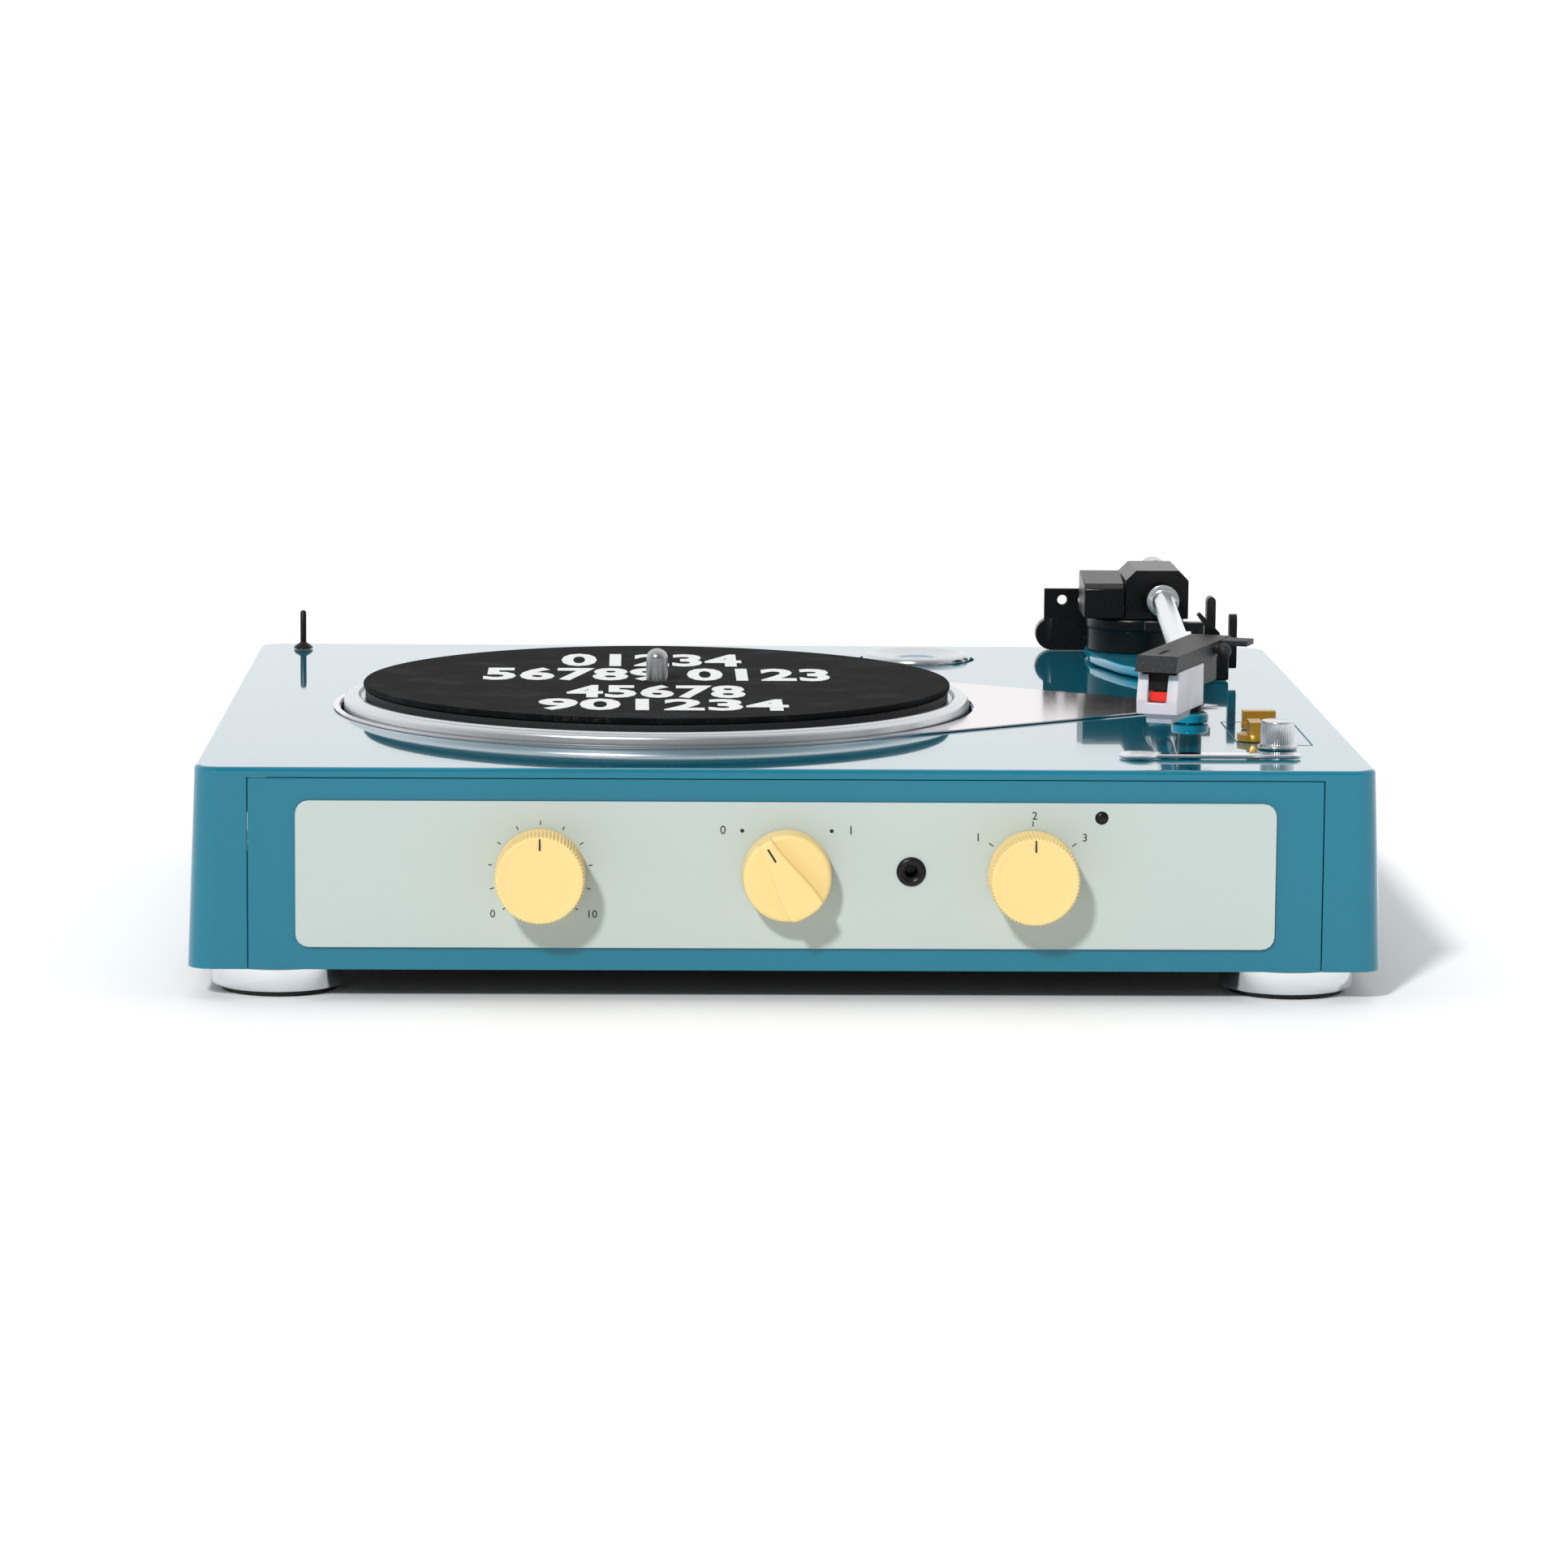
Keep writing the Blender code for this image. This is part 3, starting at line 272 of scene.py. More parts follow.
def tinted(look_parts, scale, colours, spread=(0.35, 0.65)):
    """Slow noise that moves the base colour between two near shades."""
    _, tree, shader, place = look_parts
    noise = add(tree, "ShaderNodeTexNoise", {"Vector": place, "Scale": scale, "Detail": 2.0})
    shade = ramp(tree, noise.outputs["Fac"], list(zip(spread, colours)))
    tree.links.new(shade, shader.inputs["Base Color"])
    return look_parts


def shaded(base, factor):
    return [min(1.0, c * factor) for c in base]


def moulded_abs_gloss(base, name="moulded_abs_gloss"):
    """Injection-moulded ABS under clear lacquer: the lacquer gives the sharp mirror of the deck,
    the ABS below it the deep colour. Slow waviness of 90 mm softens long reflections."""
    parts = surface(
        name,
        base,
        IOR=1.45,
        Specular_IOR_Level=0.25,
        Coat_Weight=1.0,
        Coat_IOR=1.36,
        Coat_Roughness=0.02,
        Sheen_Weight=0.06,
        Sheen_Roughness=0.25,
        Sheen_Tint=(*linear("38C4DC"), 1),
    )
    parts = tinted(parts, 6.0, (shaded(base, 0.97), shaded(base, 1.03)))
    return grained(parts, 11.0, 0.05, 0.09, 0.04, 0.0004, 1.0)


def moulded_abs_satin_painted_shade(base):
    """The same ABS without lacquer, for the well and the underside: a satin tool finish, its colour
    darkened to 0.7 as painted shade in the recess.
    """
    parts = surface("moulded_abs_satin_painted_shade", shaded(base, 0.7), IOR=1.53)
    return grained(parts, 900.0, 0.35, 0.5, 0.15)


def coated_steel(base):
    """Powder-coated steel sheet: a fine orange-peel grain of about 0.7 mm."""
    parts = surface("coated_steel", base, IOR=1.5)
    parts = tinted(parts, 14.0, (shaded(base, 0.985), shaded(base, 1.015)))
    return grained(parts, 1400.0, 0.40, 0.52, 0.10, 0.0001)


def cream_abs(base):
    """Mass-coloured ABS knob with a spark-eroded satin skin."""
    parts = surface("cream_abs", base, IOR=1.5, Subsurface_Weight=0.08, Subsurface_Scale=0.002)
    return grained(parts, 2200.0, 0.38, 0.5, 0.12, 0.0001)


def black_abs(name="black_abs", base="08090A", low=0.24, high=0.36):
    """Black ABS with a light tool grain: grey sheen on its edges, deep black on its faces."""
    parts = surface(name, linear(base), IOR=1.5, Specular_IOR_Level=0.3)
    return grained(parts, 1500.0, low, high, 0.12, 0.0001)


def textured_nylon():
    """Glass-filled nylon of the head shell: dark grey with pale flecks of about 0.4 mm."""
    parts = surface("textured_nylon", linear("2A2B2D"), IOR=1.52, Specular_IOR_Level=0.3)
    _, tree, shader, place = parts
    fleck = add(tree, "ShaderNodeTexNoise", {"Vector": place, "Scale": 2600.0, "Detail": 4.0})
    shades = [(0.42, linear("141516")), (0.60, linear("26272A")), (0.76, linear("505154"))]
    tree.links.new(ramp(tree, fleck.outputs["Fac"], shades), shader.inputs["Base Color"])
    return grained(parts, 1800.0, 0.42, 0.6, 0.35, 0.0002)


def milky_polycarbonate(base):
    """Milky polycarbonate cap, 0.9 mm thick: light spreads inside it, so its shadows stay pale."""
    parts = surface(
        "milky_polycarbonate", base, IOR=1.58, Subsurface_Weight=0.5, Subsurface_Scale=0.004
    )
    parts = tinted(parts, 120.0, (shaded(base, 0.93), shaded(base, 1.04)))
    return grained(parts, 700.0, 0.28, 0.42, 0.08, 0.0001)


def chrome_plate():
    """Chrome over polished metal: near mirror, with faint polishing haze."""
    parts = surface("chrome_plate", linear("DFE3E6"), Metallic=1.0)
    return grained(parts, 260.0, 0.04, 0.10, 0.03, 0.0001)


def metal(name, code, low, high, scale=500.0, bump=0.03):
    """A worked metal: fine noise gives the brushed or blasted sheen."""
    return grained(surface(name, linear(code), Metallic=1.0), scale, low, high, bump, 0.0001)


def ringed_metal(name, code, centre, pitch, low, high):
    """Spun or turned aluminium: concentric tool rings about the spindle, drawn at the given pitch
    because the real 0.1 mm ones are too fine to show."""
    look, tree, shader, place = surface(name, linear(code), Metallic=1.0)
    shift = [-c for c in centre[:2]] + [0]
    moved = add(tree, "ShaderNodeMapping", {"Vector": place, "Location": shift, "Scale": (1, 1, 0)})
    reach = add(tree, "ShaderNodeVectorMath", {0: moved.outputs["Vector"]}, operation="LENGTH")
    rings = add(
        tree,
        "ShaderNodeTexNoise",
        {"W": reach.outputs["Value"], "Scale": 1 / pitch, "Detail": 2.0},
        noise_dimensions="1D",
    )
    values = {"From Min": 0.3, "From Max": 0.7, "To Min": low, "To Max": high}
    rough = add(tree, "ShaderNodeMapRange", {"Value": rings.outputs["Fac"], **values})
    tree.links.new(rough.outputs["Result"], shader.inputs["Roughness"])
    raised = add(
        tree,
        "ShaderNodeBump",
        {"Height": rings.outputs["Fac"], "Strength": 0.12, "Distance": 0.0001},
    )
    tree.links.new(raised.outputs["Normal"], shader.inputs["Normal"])
    return look


def anodised_gold(base):
    """Gold-anodised lever caps: a warm half-metal satin with a fine blasted grain."""
    parts = surface("anodised_gold", base, Metallic=0.55)
    return grained(parts, 1500.0, 0.28, 0.42, 0.10, 0.0001)


def moulded_rubber():
    """Nitrile rubber: matt black with a dusty lift on its grain."""
    parts = surface("moulded_rubber", linear("121315"), IOR=1.52)
    return grained(parts, 1200.0, 0.55, 0.75, 0.25, 0.0002)


def pressed_felt(base):
    """Pressed wool felt, 2 mm: short pale fibres of about 0.6 mm over a black ground, with a
    low sheen at the rim where the fibres stand up."""
    look, tree, shader, place = surface(
        "pressed_felt", base, Specular_IOR_Level=0.05, Roughness=0.95, Sheen_Weight=0.03
    )
    values = {"Vector": place, "Scale": 1500.0, "Detail": 6.0, "Distortion": 1.2}
    long_fibre = add(tree, "ShaderNodeTexNoise", values)
    cloud = add(tree, "ShaderNodeTexNoise", {"Vector": place, "Scale": 60.0, "Detail": 3.0})
    mixed = add(
        tree,
        "ShaderNodeMath",
        {0: long_fibre.outputs["Fac"], 1: cloud.outputs["Fac"]},
        operation="MULTIPLY",
    )
    stops = [(0.20, shaded(base, 0.5)), (0.30, base), (0.42, linear("2E3033"))]
    tree.links.new(ramp(tree, mixed.outputs["Value"], stops), shader.inputs["Base Color"])
    raised = add(
        tree,
        "ShaderNodeBump",
        {"Height": long_fibre.outputs["Fac"], "Strength": 0.8, "Distance": 0.0004},
    )
    tree.links.new(raised.outputs["Normal"], shader.inputs["Normal"])
    return look


def printing_ink(name, base, worn=0.0):
    """Screen-printed ink: a matt film, broken up a little where it lies on felt."""
    parts = surface(name, base, IOR=1.45)
    if worn:
        parts = tinted(parts, 2200.0, (shaded(base, 1 - worn), base), (0.38, 0.5))
    return grained(parts, 900.0, 0.55, 0.7, 0.1, 0.0001)


def painted_plastic(name, code, low=0.4, high=0.55):
    """Plain mass-coloured plastic or card for the pieces inside."""
    return grained(surface(name, linear(code), IOR=1.5), 800.0, low, high, 0.15)


LOOKS = {}


def make_looks():
    shades = bpy.context.scene.record_player_colours
    spindle = middle("spindle")
    LOOKS.update(
        cabinet=moulded_abs_gloss(shades.cabinet[:]),
        # the arm plinth and the arm rest boss are body teal made 1.7 times lighter: painted light
        # where the key light falls on them
        plinth=moulded_abs_gloss(shaded(shades.cabinet[:], 1.7), "moulded_abs_teal_painted_light"),
        # the well finish is the cabinet teal darkened to 0.7: painted shade in the recess
        well=moulded_abs_satin_painted_shade(shades.cabinet[:]),
        face_plate=coated_steel(shades.plate[:]),
        cream_plastic=cream_abs(shades.knobs[:]),
        black_plastic=black_abs(),
        headshell=textured_nylon(),
        milky_plastic=milky_polycarbonate(shades.guard[:]),
        red_plastic=grained(surface("red_abs", shades.stylus[:], IOR=1.5), 900.0, 0.3, 0.42, 0.1),
        chrome=chrome_plate(),
        platter_metal=ringed_metal("spun_aluminium", "D2D5D8", spindle, 0.0006, 0.20, 0.30),
        knob_metal=metal("turned_aluminium", "CDD1D4", 0.16, 0.24, 900.0, 0.02),
        arm_metal=metal("drawn_aluminium", "E4E6E8", 0.18, 0.26, 420.0, 0.02),
        silver_plate=metal("brushed_silver_film", "E6DEE0", 0.10, 0.16, 700.0, 0.01),
        steel=metal("ground_steel", "AEB1B4", 0.18, 0.28, 600.0, 0.01),
        brass=metal("turned_brass", "B98F45", 0.25, 0.4, 600.0, 0.1),
        gold=anodised_gold(shades.levers[:]),
        rubber=moulded_rubber(),
        felt=pressed_felt(shades.felt[:]),
        board=painted_plastic("glass_epoxy_board", "1E5B3A"),
        dial_ink=printing_ink("dial_ink", shades.print_ink[:]),
        mat_ink=printing_ink("mat_ink", linear("E9EAEA"), 0.35),
        deck_ink=printing_ink("deck_ink", linear("0B6C7C")),
    )


# ------------------------------------------------------------ small shapes
def carried(name, look_name):
    """A CAD node whose shape is right keeps it and takes a finish in each of its slots."""
    obj = NODES[name]
    if not obj.material_slots:
        obj.data.materials.append(LOOKS[look_name])
    for slot in obj.material_slots:
        slot.material = LOOKS[look_name]


def soft_edges(obj, width, segments=2):
    """Rounds the piece's hard edges and keeps its flat faces flat to the light."""
    bevel = obj.modifiers.new("Edges", "BEVEL")
    bevel.width = width
    bevel.segments = segments
    bevel.limit_method = "ANGLE"
    bevel.angle_limit = math.radians(35)
    bevel.use_clamp_overlap = True
    return obj


def face_prism(loop, face, height):
    """An outline (x, z) on the front plane y = face, raised by height towards the front."""
    loop = np.asarray(loop, float)
    depths = (face, face - height)
    return capped([np.c_[loop[:, 0], np.full(len(loop), y), loop[:, 1]] for y in depths])


def bar_loop(start, end, width):
    """The four corners of a flat bar between two points."""
    start, end = np.array(start, float), np.array(end, float)
    along = (end - start) / np.linalg.norm(end - start)
    side = np.array([-along[1], along[0]]) * width / 2
    return [start - side, end - side, end + side, start + side]


def disc_loop(centre, radius, steps=20):
    a = np.linspace(0, 2 * np.pi, steps, endpoint=False)
    return np.c_[centre[0] + radius * np.cos(a), centre[1] + radius * np.sin(a)]


def joined(meshes):
    """Several meshes as one."""
    bm = bmesh.new()
    for mesh in meshes:
        bm.from_mesh(mesh)
    out = bpy.data.meshes.new("joined")
    bm.to_mesh(out)
    bm.free()
    return out


def numerals(words, width, height, thick, weight=0.0):
    """Block numerals as a closed mesh, centred on the origin and stretched to width and height;
    with no width they keep their own proportion."""
    curve = bpy.data.curves.new("numerals", "FONT")
    curve.body = words
    curve.size = 0.02
    curve.offset = weight
    curve.extrude = 0.001
    curve.space_character = 1.0 + 60 * weight
    curve.resolution_u = 3
    writer = bpy.data.objects.new("numerals", curve)
    bpy.context.scene.collection.objects.link(writer)
    bpy.context.view_layer.update()
    ready = writer.evaluated_get(bpy.context.evaluated_depsgraph_get())
    mesh = bpy.data.meshes.new_from_object(ready)
    bpy.data.objects.remove(writer)
    points = np.empty(len(mesh.vertices) * 3)
    mesh.vertices.foreach_get("co", points)
    points = points.reshape(-1, 3)
    low, high = points.min(0), points.max(0)
    width = width or (high - low)[0] * height / (high - low)[1]
    points = (points - (low + high) / 2) * np.array([width, height, thick]) / (high - low)
    mesh.vertices.foreach_set("co", points.ravel())
    return tidy(mesh, 1e-7)


def laid(mesh, matrix):
    """Moves a mesh's points to their place, so that its object stays at the origin."""
    mesh.transform(matrix)
    mesh.update()
    return mesh


class Part:
    """What the operators share: undo, and the panel that lists them."""

    bl_options = {"REGISTER", "UNDO"}


# ------------------------------------------------------------ cabinet
class RECORD_OT_cabinet(Part, bpy.types.Operator):
    """Gloss cabinet with its groove, arm plinth and well"""

    bl_idname = "record_player.cabinet"
    bl_label = "Cabinet"

    def execute(self, context):
        edge = context.scene.record_player_sizes.edge
        for name, look, width in (
            ("cabinet_shell", "cabinet", 0),
            ("front_panel", "cabinet", edge),
            # the plinth finish is the body teal made lighter: painted light on these bosses
            ("arm_plinth", "plinth", edge),
            ("arm_rest_base", "plinth", edge),
        ):
            obj = refined(name, LOOKS[look], "cabinet")
            if width:
                soft_edges(obj, width)
            flat = obj.modifiers.new("Flat faces", "WEIGHTED_NORMAL")
            flat.keep_sharp = True
        # the well parts take the darker teal, which is painted shade
        carried("sub_deck", "well")
        carried("adapter_tray", "well")
        carried("base_cover", "black_plastic")
        return {"FINISHED"}


class RECORD_OT_feet(Part, bpy.types.Operator):
    """Chromed feet on rubber pads"""

    bl_idname = "record_player.feet"
    bl_label = "Feet"

    def execute(self, context):
        for place in ("front_left", "front_right", "rear_left", "rear_right"):
            name = "foot_" + place
            low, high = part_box(name)
            x, y, _ = middle(name)
            radius = (high[0] - low[0]) / 2
            rim = low[2]
            pad_low, pad_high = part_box("foot_pad_" + place)
            inner = (pad_high[0] - pad_low[0]) / 2
            shell = [
                (0, high[2]),
                (radius, high[2]),
                (radius, rim),
                (inner + 0.0003, rim),
                (inner + 0.0003, pad_high[2] + 0.0003),
                (0, pad_high[2] + 0.0003),
            ]
            mesh = revolve(rounded(shell, 0.0008), 96, (x, y, 0))
            piece(name + "_finish", mesh, LOOKS["chrome"], "cabinet", (name,))
            pad = [(0, pad_high[2]), (inner, pad_high[2]), (inner, pad_low[2]), (0, pad_low[2])]
            mesh = revolve(rounded(pad, 0.0007), 72, (x, y, 0))
            piece(
                "foot_pad_" + place + "_finish",
                mesh,
                LOOKS["rubber"],
                "cabinet",
                ("foot_pad_" + place,),
            )
        return {"FINISHED"}


# ------------------------------------------------------------ front plate
POINTER = 0.0005  # width of the line on a ribbed knob
# the power knob's bar: half its width at the nose and the tail, its turn from up, its foot
BAR_NOSE, BAR_TAIL = 0.0024, 0.00575
BAR_TURN = 32
BAR_FOOT = 0.0080
TICK_START = 0.0149  # a tick's inner end, just outside its knob
TICK_WIDTH = 0.0003
INK = 0.00006  # how far ink stands off what it is printed on
HAIR = 0.00001  # keeps a mark's back face out of the plane that it lies on
DOT_AT = 0.0190  # the power dots' distance from the knob's axis
DOT_TURN = 0.80  # their angle from up, in radians
# the plain numbers: words, place across and up, height
NUMBERS = (
    ("0", -0.0895, 0.0274, 0.0024),
    ("10", -0.0590, 0.0274, 0.0024),
    ("0", -0.0195, 0.0535, 0.0026),
    ("1", 0.0195, 0.0535, 0.0026),
    ("1", 0.0583, 0.0515, 0.0024),
    ("2", 0.0755, 0.0582, 0.0024),
    ("3", 0.0909, 0.0515, 0.0024),
)


def tick_ring(centre, angles, inner, reach, face):
    """Ticks round a knob: each is a bar from the inner radius outwards at its angle from up."""
    outer = inner + reach
    marks = []
    for angle in np.radians(angles):
        way = np.array([math.sin(angle), math.cos(angle)])
        loop = bar_loop(centre + way * inner, centre + way * outer, TICK_WIDTH)
        marks.append(face_prism(loop, face, INK))
    return marks


class RECORD_OT_face_plate(Part, bpy.types.Operator):
    """Coated face plate with plain ticks, dots and numbers"""

    bl_idname = "record_player.face_plate"
    bl_label = "Face plate"

    def execute(self, context):
        sizes = context.scene.record_player_sizes
        plate = refined("face_plate", LOOKS["face_plate"], "cabinet")
        soft_edges(plate, 0.0003)
        face = corner("face_plate", 0, 1) - HAIR
        names = ("volume_knob", "power_knob", "select_knob")
        knobs = {name: np.array(middle(name))[[0, 2]] for name in names}
        stand = Matrix.Rotation(math.radians(90), 4, "X")

        def number(words, x, z, high):
            mesh = numerals(words, None, high, INK)
            return laid(mesh, Matrix.Translation((x, face - 0.00003, z)) @ stand)

        steps = np.linspace(-135, 135, 11)
        marks = tick_ring(knobs["volume_knob"], steps, TICK_START, sizes.tick, face)
        marks += tick_ring(knobs["select_knob"], (-54, 0, 54), TICK_START, sizes.tick * 1.3, face)
        for side in (-1, 1):
            way = np.array([side * math.sin(DOT_TURN), math.cos(DOT_TURN)])
            dot = disc_loop(knobs["power_knob"] + DOT_AT * way, 0.0006)
            marks.append(face_prism(dot, face, INK))
        marks += [number(*row) for row in NUMBERS]
        piece("face_plate_marks", joined(marks), LOOKS["dial_ink"], "cabinet")
        return {"FINISHED"}


def shaft_points(name):
    """The knob's shaft, as the frame has it: its radius and how far back it reaches."""
    points = np.empty(len(NODES[name].data.vertices) * 3, np.float32)
    NODES[name].data.vertices.foreach_get("co", points)
    points = points.reshape(-1, 3)
    back = points[:, 1].max()
    end = points[points[:, 1] > back - 1e-5]
    return float(np.hypot(*(end[:, [0, 2]] - np.array(middle(name))[[0, 2]]).T).max()), float(back)


class RECORD_OT_knobs(Part, bpy.types.Operator):
    """Two ribbed cream knobs and the power knob with its raised pointer"""

    bl_idname = "record_player.knobs"
    bl_label = "Front knobs"

    def execute(self, context):
        sizes = context.scene.record_player_sizes
        plate = corner("face_plate", 0, 1)
        for name, body in (("volume_knob", "volume_body"), ("select_knob", "select_body")):
            low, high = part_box(name)
            x, _, z = middle(name)
            radius, face = (high[0] - low[0]) / 2, -low[1]
            back = -(plate - 0.0003)
            shaft, reach = shaft_points(name)
            ring = [
                (0, face - 0.00025),
                (radius - 0.0030, face - 0.00025),
                (radius - 0.0016, face),
                (radius - 0.0006, face),
                (radius, face - 0.0008),
                (radius, back + 0.0022),
                (radius, back + 0.0018),
                (radius, back),
                (shaft, back),
                (shaft, -reach),
                (0, -reach),
            ]
            ring = rounded(ring, 0.0004, 2)
            first, last = back + 0.0024, face - 0.0007

            def ribs(angle, r, h, first=first, last=last, outer=radius):
                side = (r > outer - 0.0004) & (h > first) & (h < last + 0.0004)
                return -sizes.rib_depth * side * (0.5 + 0.5 * np.cos(sizes.ribs * angle))

            wall = []
            for a, b in zip(ring[:-1], ring[1:]):
                wall.append(a)
                if abs(a[1] - b[1]) > 0.004 and a[0] > radius - 0.0004:
                    wall += [a + (b - a) * t for t in (0.05, 0.5, 0.95)]
            wall.append(ring[-1])
            mesh = revolve(wall, sizes.ribs * 6, (x, 0, z), (0, -1, 0), ribs)
            cream = LOOKS["cream_plastic"]
            piece(name + "_finish", mesh, cream, body, (name,), 50)
            line = bar_loop((x, z + radius - 0.0046), (x, z + radius - 0.0010), POINTER)
            mark = face_prism(line, -face + 0.00010, 0.00016)
            piece(name + "_pointer", mark, LOOKS["dial_ink"], body)
        self.power_knob(plate)
        return {"FINISHED"}

    def power_knob(self, plate):
        low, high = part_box("power_knob")
        x, _, z = middle("power_knob")
        radius, face = (high[0] - low[0]) / 2, -low[1]
        back = -(plate - 0.0003)
        shaft, reach = shaft_points("power_knob")
        disc = [
            (0, back + 0.0100),
            (radius - 0.0004, back + 0.0100),
            (radius, back + 0.0010),
            (radius, back),
            (shaft, back),
            (shaft, -reach),
            (0, -reach),
        ]
        base = revolve(rounded(disc, 0.0016, 6), 128, (x, 0, z), (0, -1, 0))
        turn = math.radians(BAR_TURN)
        nose = np.array([-math.sin(turn), math.cos(turn)])
        side = np.array([nose[1], -nose[0]])
        t = np.linspace(0, 1, 17)
        half = BAR_NOSE + (BAR_TAIL - BAR_NOSE) * (3 * t**2 - 2 * t**3)
        along = radius - 0.0002 - t * (2 * radius - 0.0030)
        right = np.array([x, z]) + np.outer(along, nose) + np.outer(half, side)
        left = np.array([x, z]) + np.outer(along, nose) - np.outer(half, side)
        a = np.linspace(0, np.pi, 9)[1:-1]
        tail = (right[-1] + left[-1]) / 2
        across = np.outer(np.cos(a) * half[-1], side)
        round_tail = tail + across - np.outer(np.sin(a) * 0.0016, nose)
        loop = np.vstack([right, round_tail, left[::-1]])
        bar = face_prism(loop, -(back + BAR_FOOT), face - back - BAR_FOOT)
        obj = piece(
            "power_knob_finish",
            joined([base, bar]),
            LOOKS["cream_plastic"],
            "power_body",
            ("power_knob",),
        )
        soft_edges(obj, 0.0008, 3)
        start = np.array([x, z]) + nose * (radius - 0.0068)
        end = np.array([x, z]) + nose * (radius - 0.0022)
        mark = face_prism(bar_loop(start, end, 0.0006), -face + 0.00002, 0.0001)
        piece("power_knob_pointer", mark, LOOKS["dial_ink"], "power_body")


class RECORD_OT_sockets(Part, bpy.types.Operator):
    """Jack, lamp and rear sockets"""

    bl_idname = "record_player.sockets"
    bl_label = "Sockets and lamp"

    def execute(self, context):
        low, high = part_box("aux_jack")
        x, _, z = middle("aux_jack")
        radius, front, rear = (high[0] - low[0]) / 2, -low[1], -high[1]
        ring = [
            (0, front - 0.0080),
            (0.0018, front - 0.0080),
            (0.0018, front - 0.0008),
            (0.0030, front),
            (radius - 0.0008, front),
            (radius, front - 0.0006),
            (radius, front - 0.0009),
            (radius - 0.0007, front - 0.0009),
            (radius - 0.0007, rear),
            (0, rear),
        ]
        mesh = revolve(rounded(ring, 0.0003, 3), 72, (x, 0, z), (0, -1, 0))
        black = LOOKS["black_plastic"]
        piece("aux_jack_finish", mesh, black, "cabinet", ("aux_jack",))
        low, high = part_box("led_lens")
        x, _, z = middle("led_lens")
        radius, front, rear = (high[0] - low[0]) / 2, -low[1], -high[1]
        t = np.linspace(0, np.pi / 2, 7)
        dome = np.c_[radius * np.sin(t), front - 0.0006 * (1 - np.cos(t))]
        mesh = revolve(np.vstack([dome, [(radius, rear), (0, rear)]]), 48, (x, 0, z), (0, -1, 0))
        piece("led_lens_finish", mesh, black, "cabinet", ("led_lens",))
        soft_edges(refined("rear_sockets", black, "cabinet"), 0.0003)
        return {"FINISHED"}


# ------------------------------------------------------------ turntable
SHOULDER = 0.0603  # height at which the spindle and hub rest on the bush
JOURNAL = 0.0030  # radius of the spindle inside the bush
BORE = 0.00385  # radius of the hole in the platter and mat
HUB = 0.0090  # radius of the platter's hub
DRIVE = 0.0600  # radius of the ring that the belt turns


class RECORD_OT_platter(Part, bpy.types.Operator):
    """Spun platter, rubber mat, spindle and bush"""

    bl_idname = "record_player.platter"
    bl_label = "Platter"

    def execute(self, context):
        low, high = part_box("platter")
        x, y, _ = middle("platter")
        radius = (high[0] - low[0]) / 2
        rim, skirt = high[2], low[2]
        disc = corner("rubber_mat", 0, 2) - 0.0003
        rubber = (corner("rubber_mat", 1, 0) - corner("rubber_mat", 0, 0)) / 2
        bore, drive, under = BORE, DRIVE, disc - 0.0030
        outline = [
            (bore, disc),
            (rubber + 0.0014, disc),
            (rubber + 0.0022, rim - 0.0001),
            (rubber + 0.0030, rim),
            (radius - 0.0030, rim),
            (radius - 0.0018, rim - 0.0006),
            (radius - 0.0008, rim - 0.0008),
            (radius, rim - 0.0018),
            (radius, skirt),
            (radius - 0.0030, skirt),
            (radius - 0.0030, under),
            (drive, under),
            (drive, skirt),
            (drive - 0.0030, skirt),
            (drive - 0.0030, under),
            (0.0120, under),
            (HUB, under - 0.0030),
            (HUB, SHOULDER),
            (bore, SHOULDER),
        ]
        mesh = revolve(rounded(outline, 0.0005, 3), 220, (x, y, 0), closed=True)
        spun, body = LOOKS["platter_metal"], "platter_body"
        piece("platter_finish", mesh, spun, body, ("platter",), 30)
        low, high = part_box("rubber_mat")
        top, bottom = high[2], low[2]
        pad = [(rubber, top), (rubber, bottom), (bore, bottom), (bore, top), (rubber - 0.0002, top)]
        mesh = revolve(rounded(pad, 0.0006, 3), 200, (x, y, 0), closed=True)
        piece("rubber_mat_finish", mesh, LOOKS["rubber"], body, ("rubber_mat",))
        low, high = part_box("spindle")
        top, r = high[2], (high[0] - low[0]) / 2
        t = np.linspace(0, np.pi / 2, 9)
        cap = np.c_[r * np.sin(t), top - 0.0032 * (1 - np.cos(t))]
        rest = [(r, SHOULDER), (JOURNAL, SHOULDER), (JOURNAL, low[2]), (0, low[2])]
        mesh = revolve(np.vstack([cap, rest]), 64, (x, y, 0))
        piece("spindle_finish", mesh, LOOKS["steel"], body, ("spindle",), 50)
        carried("bearing_bush", "brass")
        carried("motor_pulley", "brass")
        carried("drive_belt", "rubber")
        carried("motor", "steel")
        return {"FINISHED"}


# rows of numerals on the mat: words, centre and size, in metres from the spindle
MAT_ROWS = (
    ("01234", (-0.0017, 0.0555), (0.061, 0.034)),
    ("56789 0123", (0.0000, 0.0165), (0.115, 0.034)),
    ("45678", (-0.0004, -0.0289), (0.058, 0.033)),
    ("901234", (0.0018, -0.0625), (0.080, 0.029)),
)


